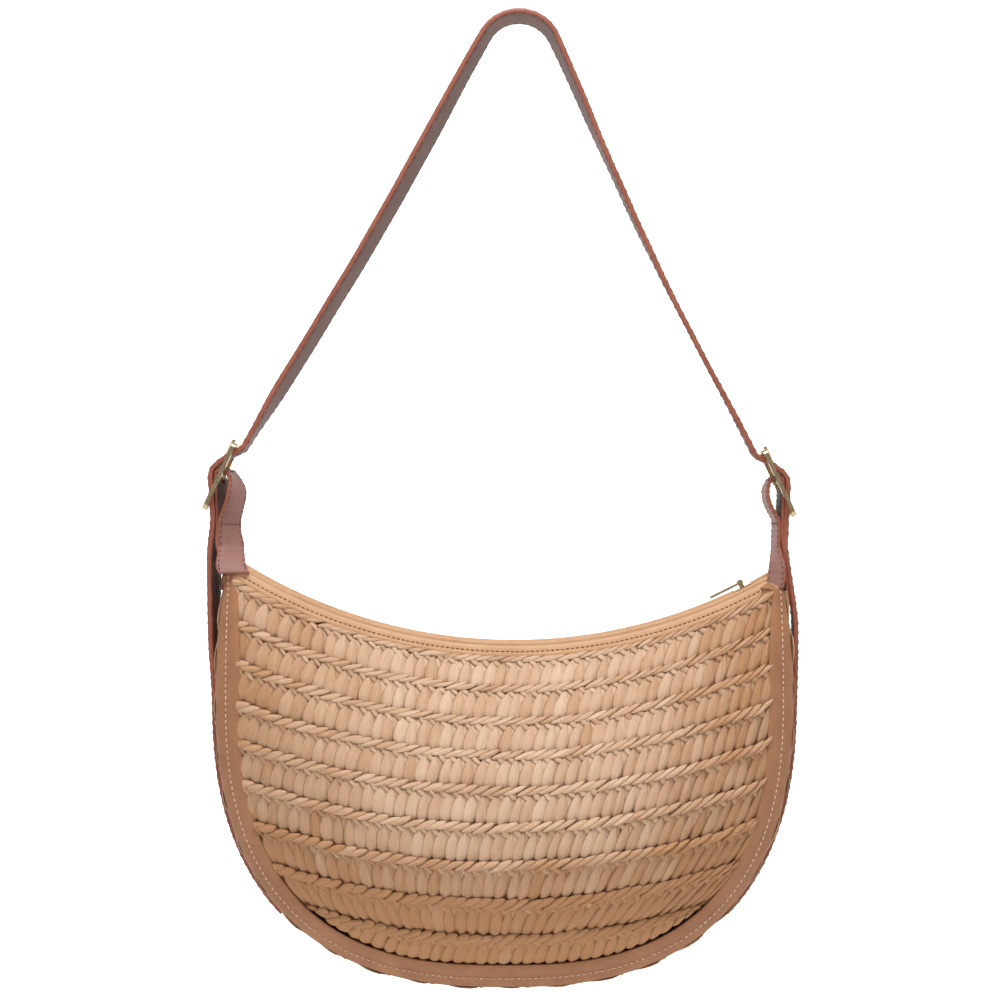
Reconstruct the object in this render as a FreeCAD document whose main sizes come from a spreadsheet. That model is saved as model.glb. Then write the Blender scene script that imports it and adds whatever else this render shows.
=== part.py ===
"""Hobo bag of braided straw with a long leather shoulder strap.

The bag hangs from the top of its strap.  The origin is the centre of the round
support that the strap bends over, +X is the bag's right as it is looked at from
the front, the front faces -Y and +Z is up.  Lengths are millimetres.
"""
import FreeCAD
import Part
import Sketcher
import math
import os

os.makedirs("parts", exist_ok=True)
doc = FreeCAD.newDocument("HoboBag")
Vector = FreeCAD.Vector

# --------------------------------------------------------------------------
# Driving dimensions
# --------------------------------------------------------------------------
sheet = doc.addObject("Spreadsheet::Sheet", "Dimensions")

DIMENSIONS = {
    # strap
    "strap_width": 21.0,
    "strap_thickness": 3.4,
    "support_radius": 25.0,
    "tail_end_height": -588.0,
    # swing line, which crosses both tabs
    "swing_height": -320.0,
    "swing_reach": 17.5,
    "swing_gap": 0.8,
    # buckles
    "buckle_above": 24.0,
    "buckle_below": 26.0,
    "buckle_half_width": 16.5,
    "buckle_rim": 3.2,
    "buckle_depth": 2.8,
    "buckle_corner": 4.0,
    "buckle_bar_radius": 1.6,
    "buckle_tilt": 25.0,
    "left_bar_across": -203.9,
    "left_bar_height": -288.4,
    "right_bar_across": 177.1,
    "right_bar_height": -293.2,
    "tongue_radius": 1.2,
    "tongue_fit": 0.05,
    "tongue_slot": 4.6,
    # tabs
    "tab_thickness": 2.2,
    "tab_layer_gap": 0.3,
    "tab_offset": 0.6,
    # bag outline
    "bag_centre": -10.0,
    "belly_height": -436.0,
    "outline_half_width": 195.7,
    "outline_drop": 199.8,
    "outline_power": 2.5,
    "outline_shoulder": 5.5,
    "crease_half_width": 178.9,
    "crease_drop": 184.0,
    "crease_power": 2.65,
    "crease_shoulder": -4.0,
    "left_corner_height": -357.0,
    "right_corner_height": -367.3,
    # bag depth
    "gusset_half_depth": 20.0,
    "corner_half_depth": 12.0,
    "gusset_thickness": 3.0,
    "crease_depth": 30.0,
    "belly_depth": 75.0,
    "seam_thickness": 2.5,
    "row_thickness": 3.0,
    "lining_thickness": 1.0,
    "piece_gap": 0.4,
    # braid rows
    "row_count": 9,
    "belly_row": 5.7,
    "first_middle": -432.2,
    "middle_pitch": 19.6,
    "middle_spread": 0.56,
    "first_side": -392.3,
    "side_pitch": 24.8,
    "side_spread": 0.27,
    "row_tilt": 3.4,
    # mouth and zip
    "mouth_across": -3.4,
    "mouth_height": -48.7,
    "mouth_radius": 354.0,
    "facing_width": 10.0,
    "facing_top_depth": 12.4,
    "facing_low_depth": 17.1,
    "facing_thickness": 1.8,
    "mouth_left_angle": 30.6,
    "mouth_right_angle": 28.6,
    "tape_radius": 356.2,
    "tape_thickness": 0.9,
    "tape_inner": 3.6,
    "tape_outer": 11.3,
    "teeth_radius": 355.4,
    "teeth_height": 2.4,
    "teeth_inner": 0.8,
    "teeth_outer": 3.3,
    "stop_sweep": 0.5,
    "slider_length": 13.0,
    "slider_width": 10.5,
    "slider_plate": 1.3,
    "slider_gap": 1.0,
    "slider_post_width": 1.2,
    "slider_angle": 26.3,
    "pull_pin_radius": 0.8,
    "pull_eye_radius": 2.1,
    "pull_pin_rise": 3.2,
    "pull_width": 7.0,
    "pull_length": 23.0,
    "pull_thickness": 1.6,
    "lug_thickness": 0.9,
    "lug_space": 3.2,
}

for row, (alias, value) in enumerate(DIMENSIONS.items(), start=1):
    sheet.set("A%d" % row, alias.replace("_", " "))
    sheet.set("B%d" % row, str(value))
    sheet.setAlias("B%d" % row, alias)
doc.recompute()


def size(alias):
    """Return the sheet's value of one driving dimension."""
    return float(sheet.get(alias))


nodes = []


def keep(piece):
    """Name a finished piece after itself and list it for writing."""
    piece.Label = piece.Name
    nodes.append(piece)
    return piece


def finish_feature(name, shape):
    """Store a shape that neither a body nor a primitive can make."""
    feature = doc.addObject("Part::Feature", name)
    feature.Shape = shape
    return keep(feature)


# --------------------------------------------------------------------------
# Outline of the bag, seen from the front
# --------------------------------------------------------------------------
SHOULDER_STEPS = 4
QUARTER_STEPS = 11
SHOULDER_TOP = 79.0


def corner_height(side):
    """Return how high the bag's corner is on one side, -1 left and 1 right."""
    if side < 0:
        return size("left_corner_height")
    return size("right_corner_height")


def rim(kind):
    """Return the points of the outline or the crease, corner to corner.

    It narrows or widens slightly above the widest height, and below it it is
    one half of a superellipse.
    """
    half_width = size(kind + "_half_width")
    drop = size(kind + "_drop")
    power = 2.0 / size(kind + "_power")
    points = []
    for side in (-1, 1):
        stretch = []
        rise = corner_height(side) - size("belly_height")
        for step in range(SHOULDER_STEPS):
            part = 1.0 - step / SHOULDER_STEPS
            half = half_width - size(kind + "_shoulder") * part**2
            stretch.append((side * half, rise * part))
        for step in range(QUARTER_STEPS + 1):
            turn = math.radians(90.0) * (step / QUARTER_STEPS) ** 1.15
            across = half_width * max(math.cos(turn), 0.0) ** power
            stretch.append((side * across, -drop * math.sin(turn) ** power))
        if side > 0:
            stretch = stretch[-2::-1]
        points += stretch
    centre, height = size("bag_centre"), size("belly_height")
    return [(centre + across, height + above) for across, above in points]


def inset_points(points, distance):
    """Move the points of an outline inwards, square to the outline."""
    moved = []
    for index, (across, height) in enumerate(points):
        before = points[max(index - 1, 0)]
        after = points[min(index + 1, len(points) - 1)]
        run, rise = after[0] - before[0], after[1] - before[1]
        length = math.hypot(run, rise)
        moved.append((across - rise / length * distance, height + run / length * distance))
    return moved


def corner_blend(height):
    """Return 0 over most of the bag and 1 at its corners."""
    part = (height - size("belly_height")) / SHOULDER_TOP
    return min(max(part, 0.0), 1.0) ** 2


def gusset_depth(height):
    """Return half the gusset's width, which is less at the corners."""
    narrowing = size("gusset_half_depth") - size("corner_half_depth")
    return size("gusset_half_depth") - narrowing * corner_blend(height)


def crease_depth(height):
    """Return how far the crease stands from the bag's middle plane."""
    narrowing = size("crease_depth") - size("facing_low_depth")
    return size("crease_depth") - narrowing * corner_blend(height)


# --------------------------------------------------------------------------
# Front and back panels, as a surface over braid rows
# --------------------------------------------------------------------------
LAST_SIDE_ROW = 8.0
PANEL_INSET = 3.2
PANEL_STATIONS = 17


def superellipse_half(height):
    """Return half the panel's width at a height."""
    half_width = size("crease_half_width") - PANEL_INSET
    below = size("belly_height") - height
    if below <= 0.0:
        part = -below / SHOULDER_TOP
        return half_width - size("crease_shoulder") * part**2
    part = min(below / (size("crease_drop") - PANEL_INSET), 1.0)
    power = size("crease_power")
    return half_width * (1.0 - part**power) ** (1.0 / power)


def superellipse_height(across):
    """Return the height of the panel's lowest edge at a distance across."""
    power = size("crease_power")
    part = min(abs(across) / (size("crease_half_width") - PANEL_INSET), 1.0)
    drop = (size("crease_drop") - PANEL_INSET) * (1.0 - part**power) ** (1.0 / power)
    return size("belly_height") - drop


def mouth_curve(across, radius):
    """Return the height of the mouth's arc of this radius."""
    offset = across - size("mouth_across")
    return size("mouth_height") - math.sqrt(radius**2 - offset**2)


def braid_boundary(row, along):
    """Return the place of a row boundary, rows 1 to 8, seen from the front."""
    lower = row - 1.0
    side_height = size("first_side") - size("side_pitch") * lower - size("side_spread") * lower**2
    middle = size("first_middle") - size("middle_pitch") * lower - size("middle_spread") * lower**2
    tilt = size("row_tilt") * max(1.0 - row / 3.0, 0.0)
    half = superellipse_half(side_height)
    height = side_height + (middle - side_height) * (1.0 - along**2) - tilt * along
    return half * along, height


def panel_front(row, along):
    """Return the panel's place across and up at a row and along from -1 to 1."""
    if row < 1.0:
        low_across, low_height = braid_boundary(1.0, along)
        half = superellipse_half(size("left_corner_height"))
        across = half * along
        radius = size("mouth_radius") + size("facing_width") + size("piece_gap")
        height = mouth_curve(size("bag_centre") + across, radius)
        across = across + (low_across - across) * row
        return across, height + (low_height - height) * row
    if row > LAST_SIDE_ROW:
        across, height = braid_boundary(LAST_SIDE_ROW, along)
        lowest = superellipse_height(across)
        return across, height + (lowest - height) * (row - LAST_SIDE_ROW)
    return braid_boundary(row, along)


def panel_depth(row, along):
    """Return how far the panel's outside stands from the middle plane."""
    belly = size("belly_depth")
    belly_row = size("belly_row")
    if row <= belly_row:
        start = size("facing_low_depth")
        middle = start + (belly - start) * math.sin(math.radians(90.0) * row / belly_row)
    else:
        start = size("crease_depth")
        part = (row - belly_row) / (size("row_count") - belly_row)
        middle = start + (belly - start) * math.cos(math.radians(90.0) * part)
    edge_drop = (size("crease_depth") - size("facing_low_depth")) * max(1.0 - row / 3.0, 0.0) ** 1.5
    edge = size("crease_depth") - edge_drop
    return edge + (middle - edge) * (1.0 - abs(along) ** 2.2)


def panel_point(side, row, along, inwards):
    """Return a point of the front (-1) or back (1) panel, set inwards."""
    across, height = panel_front(row, along)
    return Vector(size("bag_centre") + across, side * (panel_depth(row, along) - inwards), height)


def surface_through(grid):
    """Return a smooth surface through a grid of points."""
    surface = Part.BSplineSurface()
    surface.interpolate(grid)
    return surface


def border_edges(surface):
    """Return the four border edges of a surface."""
    first_u, last_u, first_v, last_v = surface.bounds()
    curves = [surface.uIso(first_u), surface.uIso(last_u), surface.vIso(first_v), surface.vIso(last_v)]
    return [curve.toShape() for curve in curves]


def soft_sheet(name, outer_grid, inner_grid):
    """Build a closed sheet between two grids of points that match."""
    outer, inner = surface_through(outer_grid), surface_through(inner_grid)
    faces = [outer.toShape(), inner.toShape()]
    for outer_edge, inner_edge in zip(border_edges(outer), border_edges(inner)):
        faces.append(Part.makeRuledSurface(outer_edge, inner_edge))
    shell = Part.makeShell(faces)
    shell.sewShape()
    solid = Part.makeSolid(shell)
    if solid.Volume < 0.0:
        solid.reverse()
    return finish_feature(name, solid)


def panel_sheet(name, side, rows, inwards, thickness, reach):
    """Build one sheet of a panel, from its left edge to its right edge."""
    alongs = [reach * (2.0 * station / (PANEL_STATIONS - 1) - 1.0) for station in range(PANEL_STATIONS)]
    grids = []
    for level in (inwards, inwards + thickness):
        grids.append([[panel_point(side, row, along, level) for along in alongs] for row in rows])
    return soft_sheet(name, *grids)


def row_stations(first, last, steps):
    """Return evenly spaced rows from first to last."""
    return [first + (last - first) * step / steps for step in range(steps + 1)]


PANELS = {"front": -1, "back": 1}
ROW_SEAM = 0.012
ROW_REACH = 0.985

for place, side in PANELS.items():
    for number in range(int(size("row_count"))):
        rows = row_stations(number + ROW_SEAM, number + 1 - ROW_SEAM, 3)
        label = "%s_braid_row_%d" % (place, number + 1)
        panel_sheet(label, side, rows, 0.0, size("row_thickness"), ROW_REACH)
    lining_rows = row_stations(0.25, 8.55, 12)
    lining_set = size("row_thickness") + size("piece_gap")
    panel_sheet("lining_" + place, side, lining_rows, lining_set, size("lining_thickness"), 0.97)


# --------------------------------------------------------------------------
# Gusset, seam bands and the lining behind the gusset
# --------------------------------------------------------------------------
def across_strip(start, end):
    """Return three evenly spaced points from start to end."""
    return [start, (start + end) / 2, end]


def gusset_strip(name, start, thickness, clearance):
    """Build a strip that runs round the bag between its two panels."""
    outline = rim("outline")
    grids = []
    for level in (start, start + thickness):
        grid = []
        for original, (across, height) in zip(outline, inset_points(outline, level)):
            depth = gusset_depth(original[1]) - clearance
            grid.append(across_strip(Vector(across, -depth, height), Vector(across, depth, height)))
        grids.append(grid)
    return soft_sheet(name, *grids)


def seam_band(name, side):
    """Build the leather band between the gusset and one panel."""
    outline, crease = rim("outline"), rim("crease")
    grids = []
    for level in (0.0, size("seam_thickness")):
        grid = []
        for outer, inner in zip(inset_points(outline, level), inset_points(crease, level)):
            near = side * (gusset_depth(outer[1]) + size("piece_gap"))
            far = side * crease_depth(inner[1])
            grid.append(across_strip(Vector(outer[0], near, outer[1]), Vector(inner[0], far, inner[1])))
        grids.append(grid)
    return soft_sheet(name, *grids)


gusset_strip("gusset", 0.0, size("gusset_thickness"), 0.0)
lining_start = size("gusset_thickness") + size("piece_gap")
gusset_strip("lining_gusset", lining_start, size("lining_thickness"), 2.0)
for place, side in PANELS.items():
    seam_band("seam_band_" + place, side)


# --------------------------------------------------------------------------
# Helpers for the pieces that are drawn as sketches and turned or padded
# --------------------------------------------------------------------------
def cell(text):
    """Write the names in an expression as cells of the sheet."""
    return " ".join("Dimensions." + word if word in DIMENSIONS else word for word in text.split())


def evaluate(text):
    """Work out an expression of cell names and numbers, with + and - signs."""
    total, sign = 0.0, 1.0
    for word in text.split():
        if word in ("+", "-"):
            sign = 1.0 if word == "+" else -1.0
        else:
            total += sign * (size(word) if word in DIMENSIONS else float(word))
            sign = 1.0
    return total


def plane_of(body, role):
    """Return one of a body's own origin planes."""
    return next(feature for feature in body.Origin.OriginFeatures if feature.Role == role)


def bound_sketch(body, name, plane, outlines):
    """Draw closed outlines whose corners are bound to the sheet."""
    sketch = body.newObject("Sketcher::SketchObject", name)
    sketch.AttachmentSupport = [(plane_of(body, plane), "")]
    sketch.MapMode = "FlatFace"
    for corners in outlines:
        first = sketch.GeometryCount
        count = len(corners)
        values = [[evaluate(part) for part in corner] for corner in corners]
        for index in range(count):
            start, end = values[index], values[(index + 1) % count]
            sketch.addGeometry(Part.LineSegment(Vector(*start, 0), Vector(*end, 0)), False)
        for index in range(count):
            line, following = first + index, first + (index + 1) % count
            sketch.addConstraint(Sketcher.Constraint("Coincident", line, 2, following, 1))
        for index in range(count):
            for kind, part, value in zip(("DistanceX", "DistanceY"), corners[index], values[index]):
                rule = Sketcher.Constraint(kind, -1, 1, first + index, 1, value)
                number = sketch.addConstraint(rule)
                sketch.setExpression("Constraints[%d]" % number, cell(part))
    return sketch


def rectangle(low_across, high_across, low_up, high_up):
    """Return the four corners of a rectangle of expressions."""
    return [
        (low_across, low_up),
        (high_across, low_up),
        (high_across, high_up),
        (low_across, high_up),
    ]


def block(name, lengths, corner):
    """Make a Part::Box whose lengths and corner are bound to the sheet."""
    box = doc.addObject("Part::Box", name)
    for prop, expression in zip(("Length", "Width", "Height"), lengths):
        box.setExpression(prop, cell(expression))
    for axis, expression in zip("xyz", corner):
        box.setExpression("Placement.Base." + axis, cell(expression))
    return box


def rod(name, radius, length, start, turn):
    """Make a Part::Cylinder bound to the sheet, turned and then moved."""
    cylinder = doc.addObject("Part::Cylinder", name)
    cylinder.setExpression("Radius", cell(radius))
    cylinder.setExpression("Height", cell(length))
    cylinder.Placement = FreeCAD.Placement(Vector(), turn)
    for axis, expression in zip("xyz", start):
        cylinder.setExpression("Placement.Base." + axis, cell(expression))
    return cylinder


def fuse(name, pieces):
    """Join solids into one."""
    joined = doc.addObject("Part::MultiFuse", name)
    joined.Shapes = pieces
    return joined


def cut(name, base, tool):
    """Cut one solid out of another."""
    remainder = doc.addObject("Part::Cut", name)
    remainder.Base = base
    remainder.Tool = tool
    return remainder


ALONG_Y = FreeCAD.Rotation(Vector(1, 0, 0), -90)
ALONG_X = FreeCAD.Rotation(Vector(0, 1, 0), 90)
UPRIGHT = FreeCAD.Rotation()


# --------------------------------------------------------------------------
# Mouth: facings, zip tapes, rows of teeth and stops, turned about one axis
# --------------------------------------------------------------------------
def mouth_placement(side, angle):
    """Stand a piece on the mouth's axis, at an angle from straight down.

    Its own X points from the axis to the mouth and its own Z points away from
    the bag's middle plane, to the front (-1) or the back (1).
    """
    turn = math.radians(angle)
    radial = Vector(math.sin(turn), 0, -math.cos(turn))
    axial = Vector(0, side, 0)
    centre = Vector(size("mouth_across"), 0, size("mouth_height"))
    return FreeCAD.Placement(centre, FreeCAD.Rotation(radial, Vector(), axial, "XZY"))


def arc_strip(name, side, outline, sweep, middle):
    """Turn a section about the mouth's axis, evenly about a middle angle."""
    body = keep(doc.addObject("PartDesign::Body", name))
    sketch = bound_sketch(body, name + "_section", "XZ_Plane", [outline])
    turned = body.newObject("PartDesign::Revolution", name + "_turn")
    turned.Profile = sketch
    turned.ReferenceAxis = (sketch, ["V_Axis"])
    turned.Midplane = True
    turned.setExpression("Angle", cell(sweep))
    body.Placement = mouth_placement(side, middle)
    return body


MOUTH_SWEEP = "mouth_left_angle + mouth_right_angle"
MOUTH_MIDDLE = (size("mouth_right_angle") - size("mouth_left_angle")) / 2
FACING_LOW = "mouth_radius + facing_width"
FACING = [
    ("mouth_radius", "facing_top_depth - facing_thickness"),
    ("mouth_radius", "facing_top_depth"),
    (FACING_LOW, "facing_low_depth"),
    (FACING_LOW, "facing_low_depth - facing_thickness"),
]
TAPE = rectangle("tape_radius", "tape_radius + tape_thickness", "tape_inner", "tape_outer")
TEETH = rectangle("teeth_radius", "teeth_radius + teeth_height", "teeth_inner", "teeth_outer")

for place, side in PANELS.items():
    arc_strip("mouth_facing_" + place, side, FACING, MOUTH_SWEEP, MOUTH_MIDDLE)
    arc_strip("zip_tape_" + place, side, TAPE, MOUTH_SWEEP, MOUTH_MIDDLE)
    arc_strip("zip_teeth_" + place, side, TEETH, MOUTH_SWEEP + " - 3 * stop_sweep", MOUTH_MIDDLE)

STOP = rectangle("teeth_radius", "teeth_radius + teeth_height", "- teeth_outer", "teeth_outer")
arc_strip("zip_stop_left", -1, STOP, "stop_sweep", 0.6 * size("stop_sweep") - size("mouth_left_angle"))
arc_strip("zip_stop_right", -1, STOP, "stop_sweep", size("mouth_right_angle") - 0.6 * size("stop_sweep"))

# The slider: two plates joined by a post that runs between the rows of teeth,
# with two lugs and a pin on top that carry the pull.  Its own X points down
# into the bag, its own Y to the right and its own Z to the front.
PLATE = ("slider_plate", "slider_length", "slider_width")
TOP_PLATE = "teeth_radius - slider_gap - slider_plate"
LOW_PLATE = "teeth_radius + teeth_height + slider_gap"
PULL_PIN = "teeth_radius - slider_gap - slider_plate - pull_pin_rise"
slider_parts = [
    block("slider_top", PLATE, (TOP_PLATE, "slider_length / -2", "slider_width / -2")),
    block("slider_low", PLATE, (LOW_PLATE, "slider_length / -2", "slider_width / -2")),
    block(
        "slider_post",
        ("teeth_height + 2 * slider_gap", "slider_length / 3", "slider_post_width"),
        ("teeth_radius - slider_gap", "slider_length / 6", "slider_post_width / -2"),
    ),
    rod(
        "pull_pin",
        "pull_pin_radius",
        "lug_space + 2 * lug_thickness",
        (PULL_PIN, "0", "lug_space / -2 - lug_thickness"),
        UPRIGHT,
    ),
]
LUG = ("pull_pin_rise + 2 * pull_pin_radius", "4 * pull_pin_radius", "lug_thickness")
for name, level in (("front", "lug_space / 2"), ("back", "lug_space / -2 - lug_thickness")):
    lug_corner = (PULL_PIN + " - 2 * pull_pin_radius", "-2 * pull_pin_radius", level)
    slider_parts.append(block("slider_lug_" + name, LUG, lug_corner))
slider = keep(fuse("zip_slider", slider_parts))
slider.Placement = mouth_placement(-1, size("slider_angle"))

# The pull: an eye round the pin, a neck and a flat blade that lies downhill.
EYE_WIDTH = "lug_space - 0.4"
EYE_LOW = "lug_space / -2 + 0.2"
pull_solid = fuse(
    "pull_solid",
    [
        rod("pull_eye", "pull_eye_radius", EYE_WIDTH, (PULL_PIN, "0", EYE_LOW), UPRIGHT),
        block(
            "pull_neck",
            ("pull_thickness", "5 * pull_pin_radius", EYE_WIDTH),
            (PULL_PIN + " - pull_thickness / 2", "-5 * pull_pin_radius", EYE_LOW),
        ),
        block(
            "pull_blade",
            ("pull_thickness", "pull_length - 4 * pull_pin_radius", "pull_width"),
            (PULL_PIN + " - pull_thickness / 2", "0 - pull_length", "pull_width / -2"),
        ),
    ],
)
eye_hole = rod(
    "pull_eye_hole", "pull_pin_radius + tongue_fit", "pull_width", (PULL_PIN, "0", "pull_width / -2"), UPRIGHT
)
pull = keep(cut("zip_pull", pull_solid, eye_hole))
pull.Placement = mouth_placement(-1, size("slider_angle"))


# --------------------------------------------------------------------------
# Buckles: frame, centre bar and tongue
# --------------------------------------------------------------------------
SIDES = {"left": -1, "right": 1}
TILT = math.radians(size("buckle_tilt"))


def bar_place(side):
    """Return the place across and up of one buckle's centre bar."""
    name = "left" if side < 0 else "right"
    return size(name + "_bar_across"), size(name + "_bar_height")


def buckle_placement(side):
    """Stand a piece on a centre bar: own X up the strap, own Z outwards."""
    across, height = bar_place(side)
    along = Vector(-side * math.sin(TILT), 0, math.cos(TILT))
    outwards = Vector(side * math.cos(TILT), 0, math.sin(TILT))
    return FreeCAD.Placement(Vector(across, 0, height), FreeCAD.Rotation(along, Vector(), outwards, "XZY"))


def from_buckle(side, along, outwards):
    """Turn a place in one buckle's own plane into a place across and up."""
    place = buckle_placement(side).multVec(Vector(along, 0, outwards))
    return place.x, place.z


def corner_edges(shape):
    """Name the upright edges at the four outer corners of a buckle frame."""
    names = []
    for number, edge in enumerate(shape.Edges, start=1):
        start, end = (vertex.Point for vertex in edge.Vertexes)
        if abs(start.z - end.z) > 1.0 and abs(start.y) > size("buckle_half_width") - 0.1:
            names.append("Edge%d" % number)
    return names


def buckle_frame(name, side):
    """Build a flat buckle frame that is open across its whole middle."""
    body = keep(doc.addObject("PartDesign::Body", name))
    outer = rectangle("0 - buckle_below", "buckle_above", "0 - buckle_half_width", "buckle_half_width")
    inner = rectangle(
        "buckle_rim - buckle_below",
        "buckle_above - buckle_rim",
        "buckle_rim - buckle_half_width",
        "buckle_half_width - buckle_rim",
    )
    pad = body.newObject("PartDesign::Pad", name + "_pad")
    pad.Profile = bound_sketch(body, name + "_outline", "XY_Plane", [outer, inner])
    pad.Midplane = True
    pad.setExpression("Length", cell("buckle_depth"))
    doc.recompute()
    corners = body.newObject("PartDesign::Fillet", name + "_corners")
    corners.Base = (pad, corner_edges(pad.Shape))
    corners.setExpression("Radius", cell("buckle_corner"))
    body.Placement = buckle_placement(side)


for place, side in SIDES.items():
    buckle_frame("buckle_frame_" + place, side)
    bar = keep(doc.addObject("Part::Cylinder", "buckle_bar_" + place))
    bar.setExpression("Radius", cell("buckle_bar_radius"))
    bar.setExpression("Height", cell("2 * buckle_half_width - 2 * buckle_rim"))
    half_bar = size("buckle_half_width") - size("buckle_rim")
    bar_turn = FreeCAD.Placement(Vector(0, -half_bar, 0), ALONG_Y)
    bar.Placement = buckle_placement(side).multiply(bar_turn)
    eye_length = "3 * tongue_radius"
    eye_start = ("0", "-1.5 * tongue_radius", "0")
    blank = fuse(
        "tongue_blank_" + place,
        [
            rod("tongue_eye_" + place, "buckle_bar_radius * 2", eye_length, eye_start, ALONG_Y),
            rod(
                "tongue_rod_" + place,
                "tongue_radius",
                "buckle_above",
                ("buckle_bar_radius", "0", "buckle_depth / 2 + tongue_radius + 2 * tongue_fit"),
                ALONG_X,
            ),
        ],
    )
    hole_radius = "buckle_bar_radius + tongue_fit"
    hole_start = ("0", "-2 * tongue_radius", "0")
    hole = rod("tongue_hole_" + place, hole_radius, "4 * tongue_radius", hole_start, ALONG_Y)
    tongue = keep(cut("buckle_tongue_" + place, blank, hole))
    tongue.Placement = buckle_placement(side)
doc.recompute()


# --------------------------------------------------------------------------
# Strap, tabs and tails: leather bands that stand square to the view
# --------------------------------------------------------------------------
UP = Vector(0, 0, 1)


def flat(place):
    """Return a point of the plane that the strap bends in."""
    return Vector(place[0], 0, place[1])


def offset_curve(points, distance, tangents):
    """Return a curve at a distance beside the curve through the points."""
    centre = Part.BSplineCurve()
    centre.interpolate(Points=points, InitialTangent=tangents[0], FinalTangent=tangents[1])
    steps = 8 * len(points)
    beside = []
    for step in range(steps + 1):
        place = centre.FirstParameter + (centre.LastParameter - centre.FirstParameter) * step / steps
        tangent = centre.tangent(place)[0]
        beside.append(centre.value(place) + Vector(-tangent.z, 0, tangent.x) * distance)
    curve = Part.BSplineCurve()
    curve.interpolate(Points=beside, InitialTangent=tangents[0], FinalTangent=tangents[1])
    return curve.toShape()


def band_between(first_side, second_side, width):
    """Fill between two chains of edges and give the band its width."""
    first_start, first_end = first_side[0].Vertexes[0].Point, first_side[-1].Vertexes[-1].Point
    second_start, second_end = second_side[0].Vertexes[0].Point, second_side[-1].Vertexes[-1].Point
    caps = [Part.makeLine(first_end, second_end), Part.makeLine(second_start, first_start)]
    wire = Part.Wire(Part.__sortEdges__(first_side + second_side + caps))
    face = Part.Face(wire)
    face.translate(Vector(0, -width / 2, 0))
    return face.extrude(Vector(0, width, 0))


def hanging_band(places, thickness, width):
    """Build a band of leather that starts straight down and ends as it lies."""
    points = [flat(place) for place in places]
    ends = (-UP, (points[-1] - points[-2]).normalize())
    sides = [[offset_curve(points, reach, ends)] for reach in (thickness / 2, -thickness / 2)]
    return band_between(sides[0], sides[1], width)


def slot(side, low, high, inner, outer):
    """Return the block that frees a tongue's path through a band."""
    width = size("tongue_slot")
    box = Part.makeBox(high - low, width, outer - inner, Vector(low, -width / 2, inner))
    box.Placement = buckle_placement(side)
    return box


def swing_cutter(radius):
    """Return everything below the swing line that is further than a radius."""
    half = 300.0
    corner = Vector(-half, -half, size("swing_height") - half)
    below = Part.makeBox(2 * half, 2 * half, half, corner)
    start = Vector(-half, 0, size("swing_height"))
    return below.cut(Part.makeCylinder(radius, 2 * half, start, Vector(1, 0, 0)))


WEAVE_INSIDE = -6.1
WEAVE_OUTSIDE = 6.7
TAIL_OUTWARDS = abs(from_buckle(1, -size("buckle_below"), WEAVE_INSIDE)[0] - bar_place(1)[0])


def weave(side):
    """Return the strap's places through a buckle, from its lower end up."""
    lower, upper = size("buckle_below"), size("buckle_above")
    route = [
        (-lower, WEAVE_INSIDE),
        (-0.5 * lower, 0.9),
        (0.0, WEAVE_OUTSIDE),
        (0.5 * upper, 1.9),
        (upper - 1.0, WEAVE_INSIDE),
    ]
    return [from_buckle(side, along, outwards) for along, outwards in route]


def touch_angle(side):
    """Return the angle at which a leg meets the round part over the support."""
    across, height = weave(side)[-1]
    radius = size("support_radius") + size("strap_thickness") / 2
    return math.atan2(height, across) + side * math.acos(radius / math.hypot(across, height))


def strap_side(distance):
    """Return the edges of one face of the strap, from left to right."""
    radius = size("support_radius") + size("strap_thickness") / 2
    lowest = size("swing_height") - size("swing_reach") - 1.0
    legs = {}
    for side in (-1, 1):
        angle = touch_angle(side)
        touch = Vector(math.cos(angle), 0, math.sin(angle))
        travel = Vector(math.sin(angle), 0, -math.cos(angle))
        route = [flat(place) for place in weave(side)]
        leg = [route[-1] + touch * distance, touch * (radius + distance)]
        foot_top = route[0] + Vector(side * distance, 0, 0)
        foot = [Vector(foot_top.x, 0, lowest), foot_top]
        if side < 0:
            curve = offset_curve(route, distance, (UP, travel))
            legs[side] = [Part.makeLine(*foot), curve, Part.makeLine(*leg)]
        else:
            threading = offset_curve(route[::-1], distance, (travel, -UP))
            legs[side] = [Part.makeLine(*leg[::-1]), threading, Part.makeLine(*foot[::-1])]
    first, last = touch_angle(-1), touch_angle(1) + 2 * math.pi
    arc_points = []
    for part in (0.0, 0.5, 1.0):
        angle = first + (last - first) * part
        arc_points.append(Vector(math.cos(angle), 0, math.sin(angle)) * (radius + distance))
    return legs[-1] + [Part.Arc(*arc_points).toShape()] + legs[1]


def tab_side(side, distance):
    """Return the edges of one face of the tab's loop, up, over and down."""
    across, height = bar_place(side)
    layer = (size("tab_thickness") + size("tab_layer_gap")) / 2
    outer, inner = size("tab_offset") + layer, size("tab_offset") - layer
    low = size("swing_height") - size("swing_reach") - 1.0 - height
    neck = size("swing_height") - height
    route = [(outer, neck), (2.5, 0.45 * neck), (2.85, 1.0), (1.2, 2.8), (-1.7, 2.8), (-5.5, 0.8)]
    route += [(-7.9, 0.22 * neck), (-6.8, 0.52 * neck), (-3.3, 0.8 * neck), (inner, neck)]
    points = [Vector(across + side * outwards, 0, height + above) for outwards, above in route]
    loop = offset_curve(points, distance, (UP, -UP))
    ends = []
    for layer_place, reach in ((outer, distance), (inner, -distance)):
        place = across + side * layer_place - reach
        ends.append([Vector(place, 0, height + low), Vector(place, 0, height + neck)])
    return [Part.makeLine(*ends[0]), loop, Part.makeLine(*reversed(ends[1]))]


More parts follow.
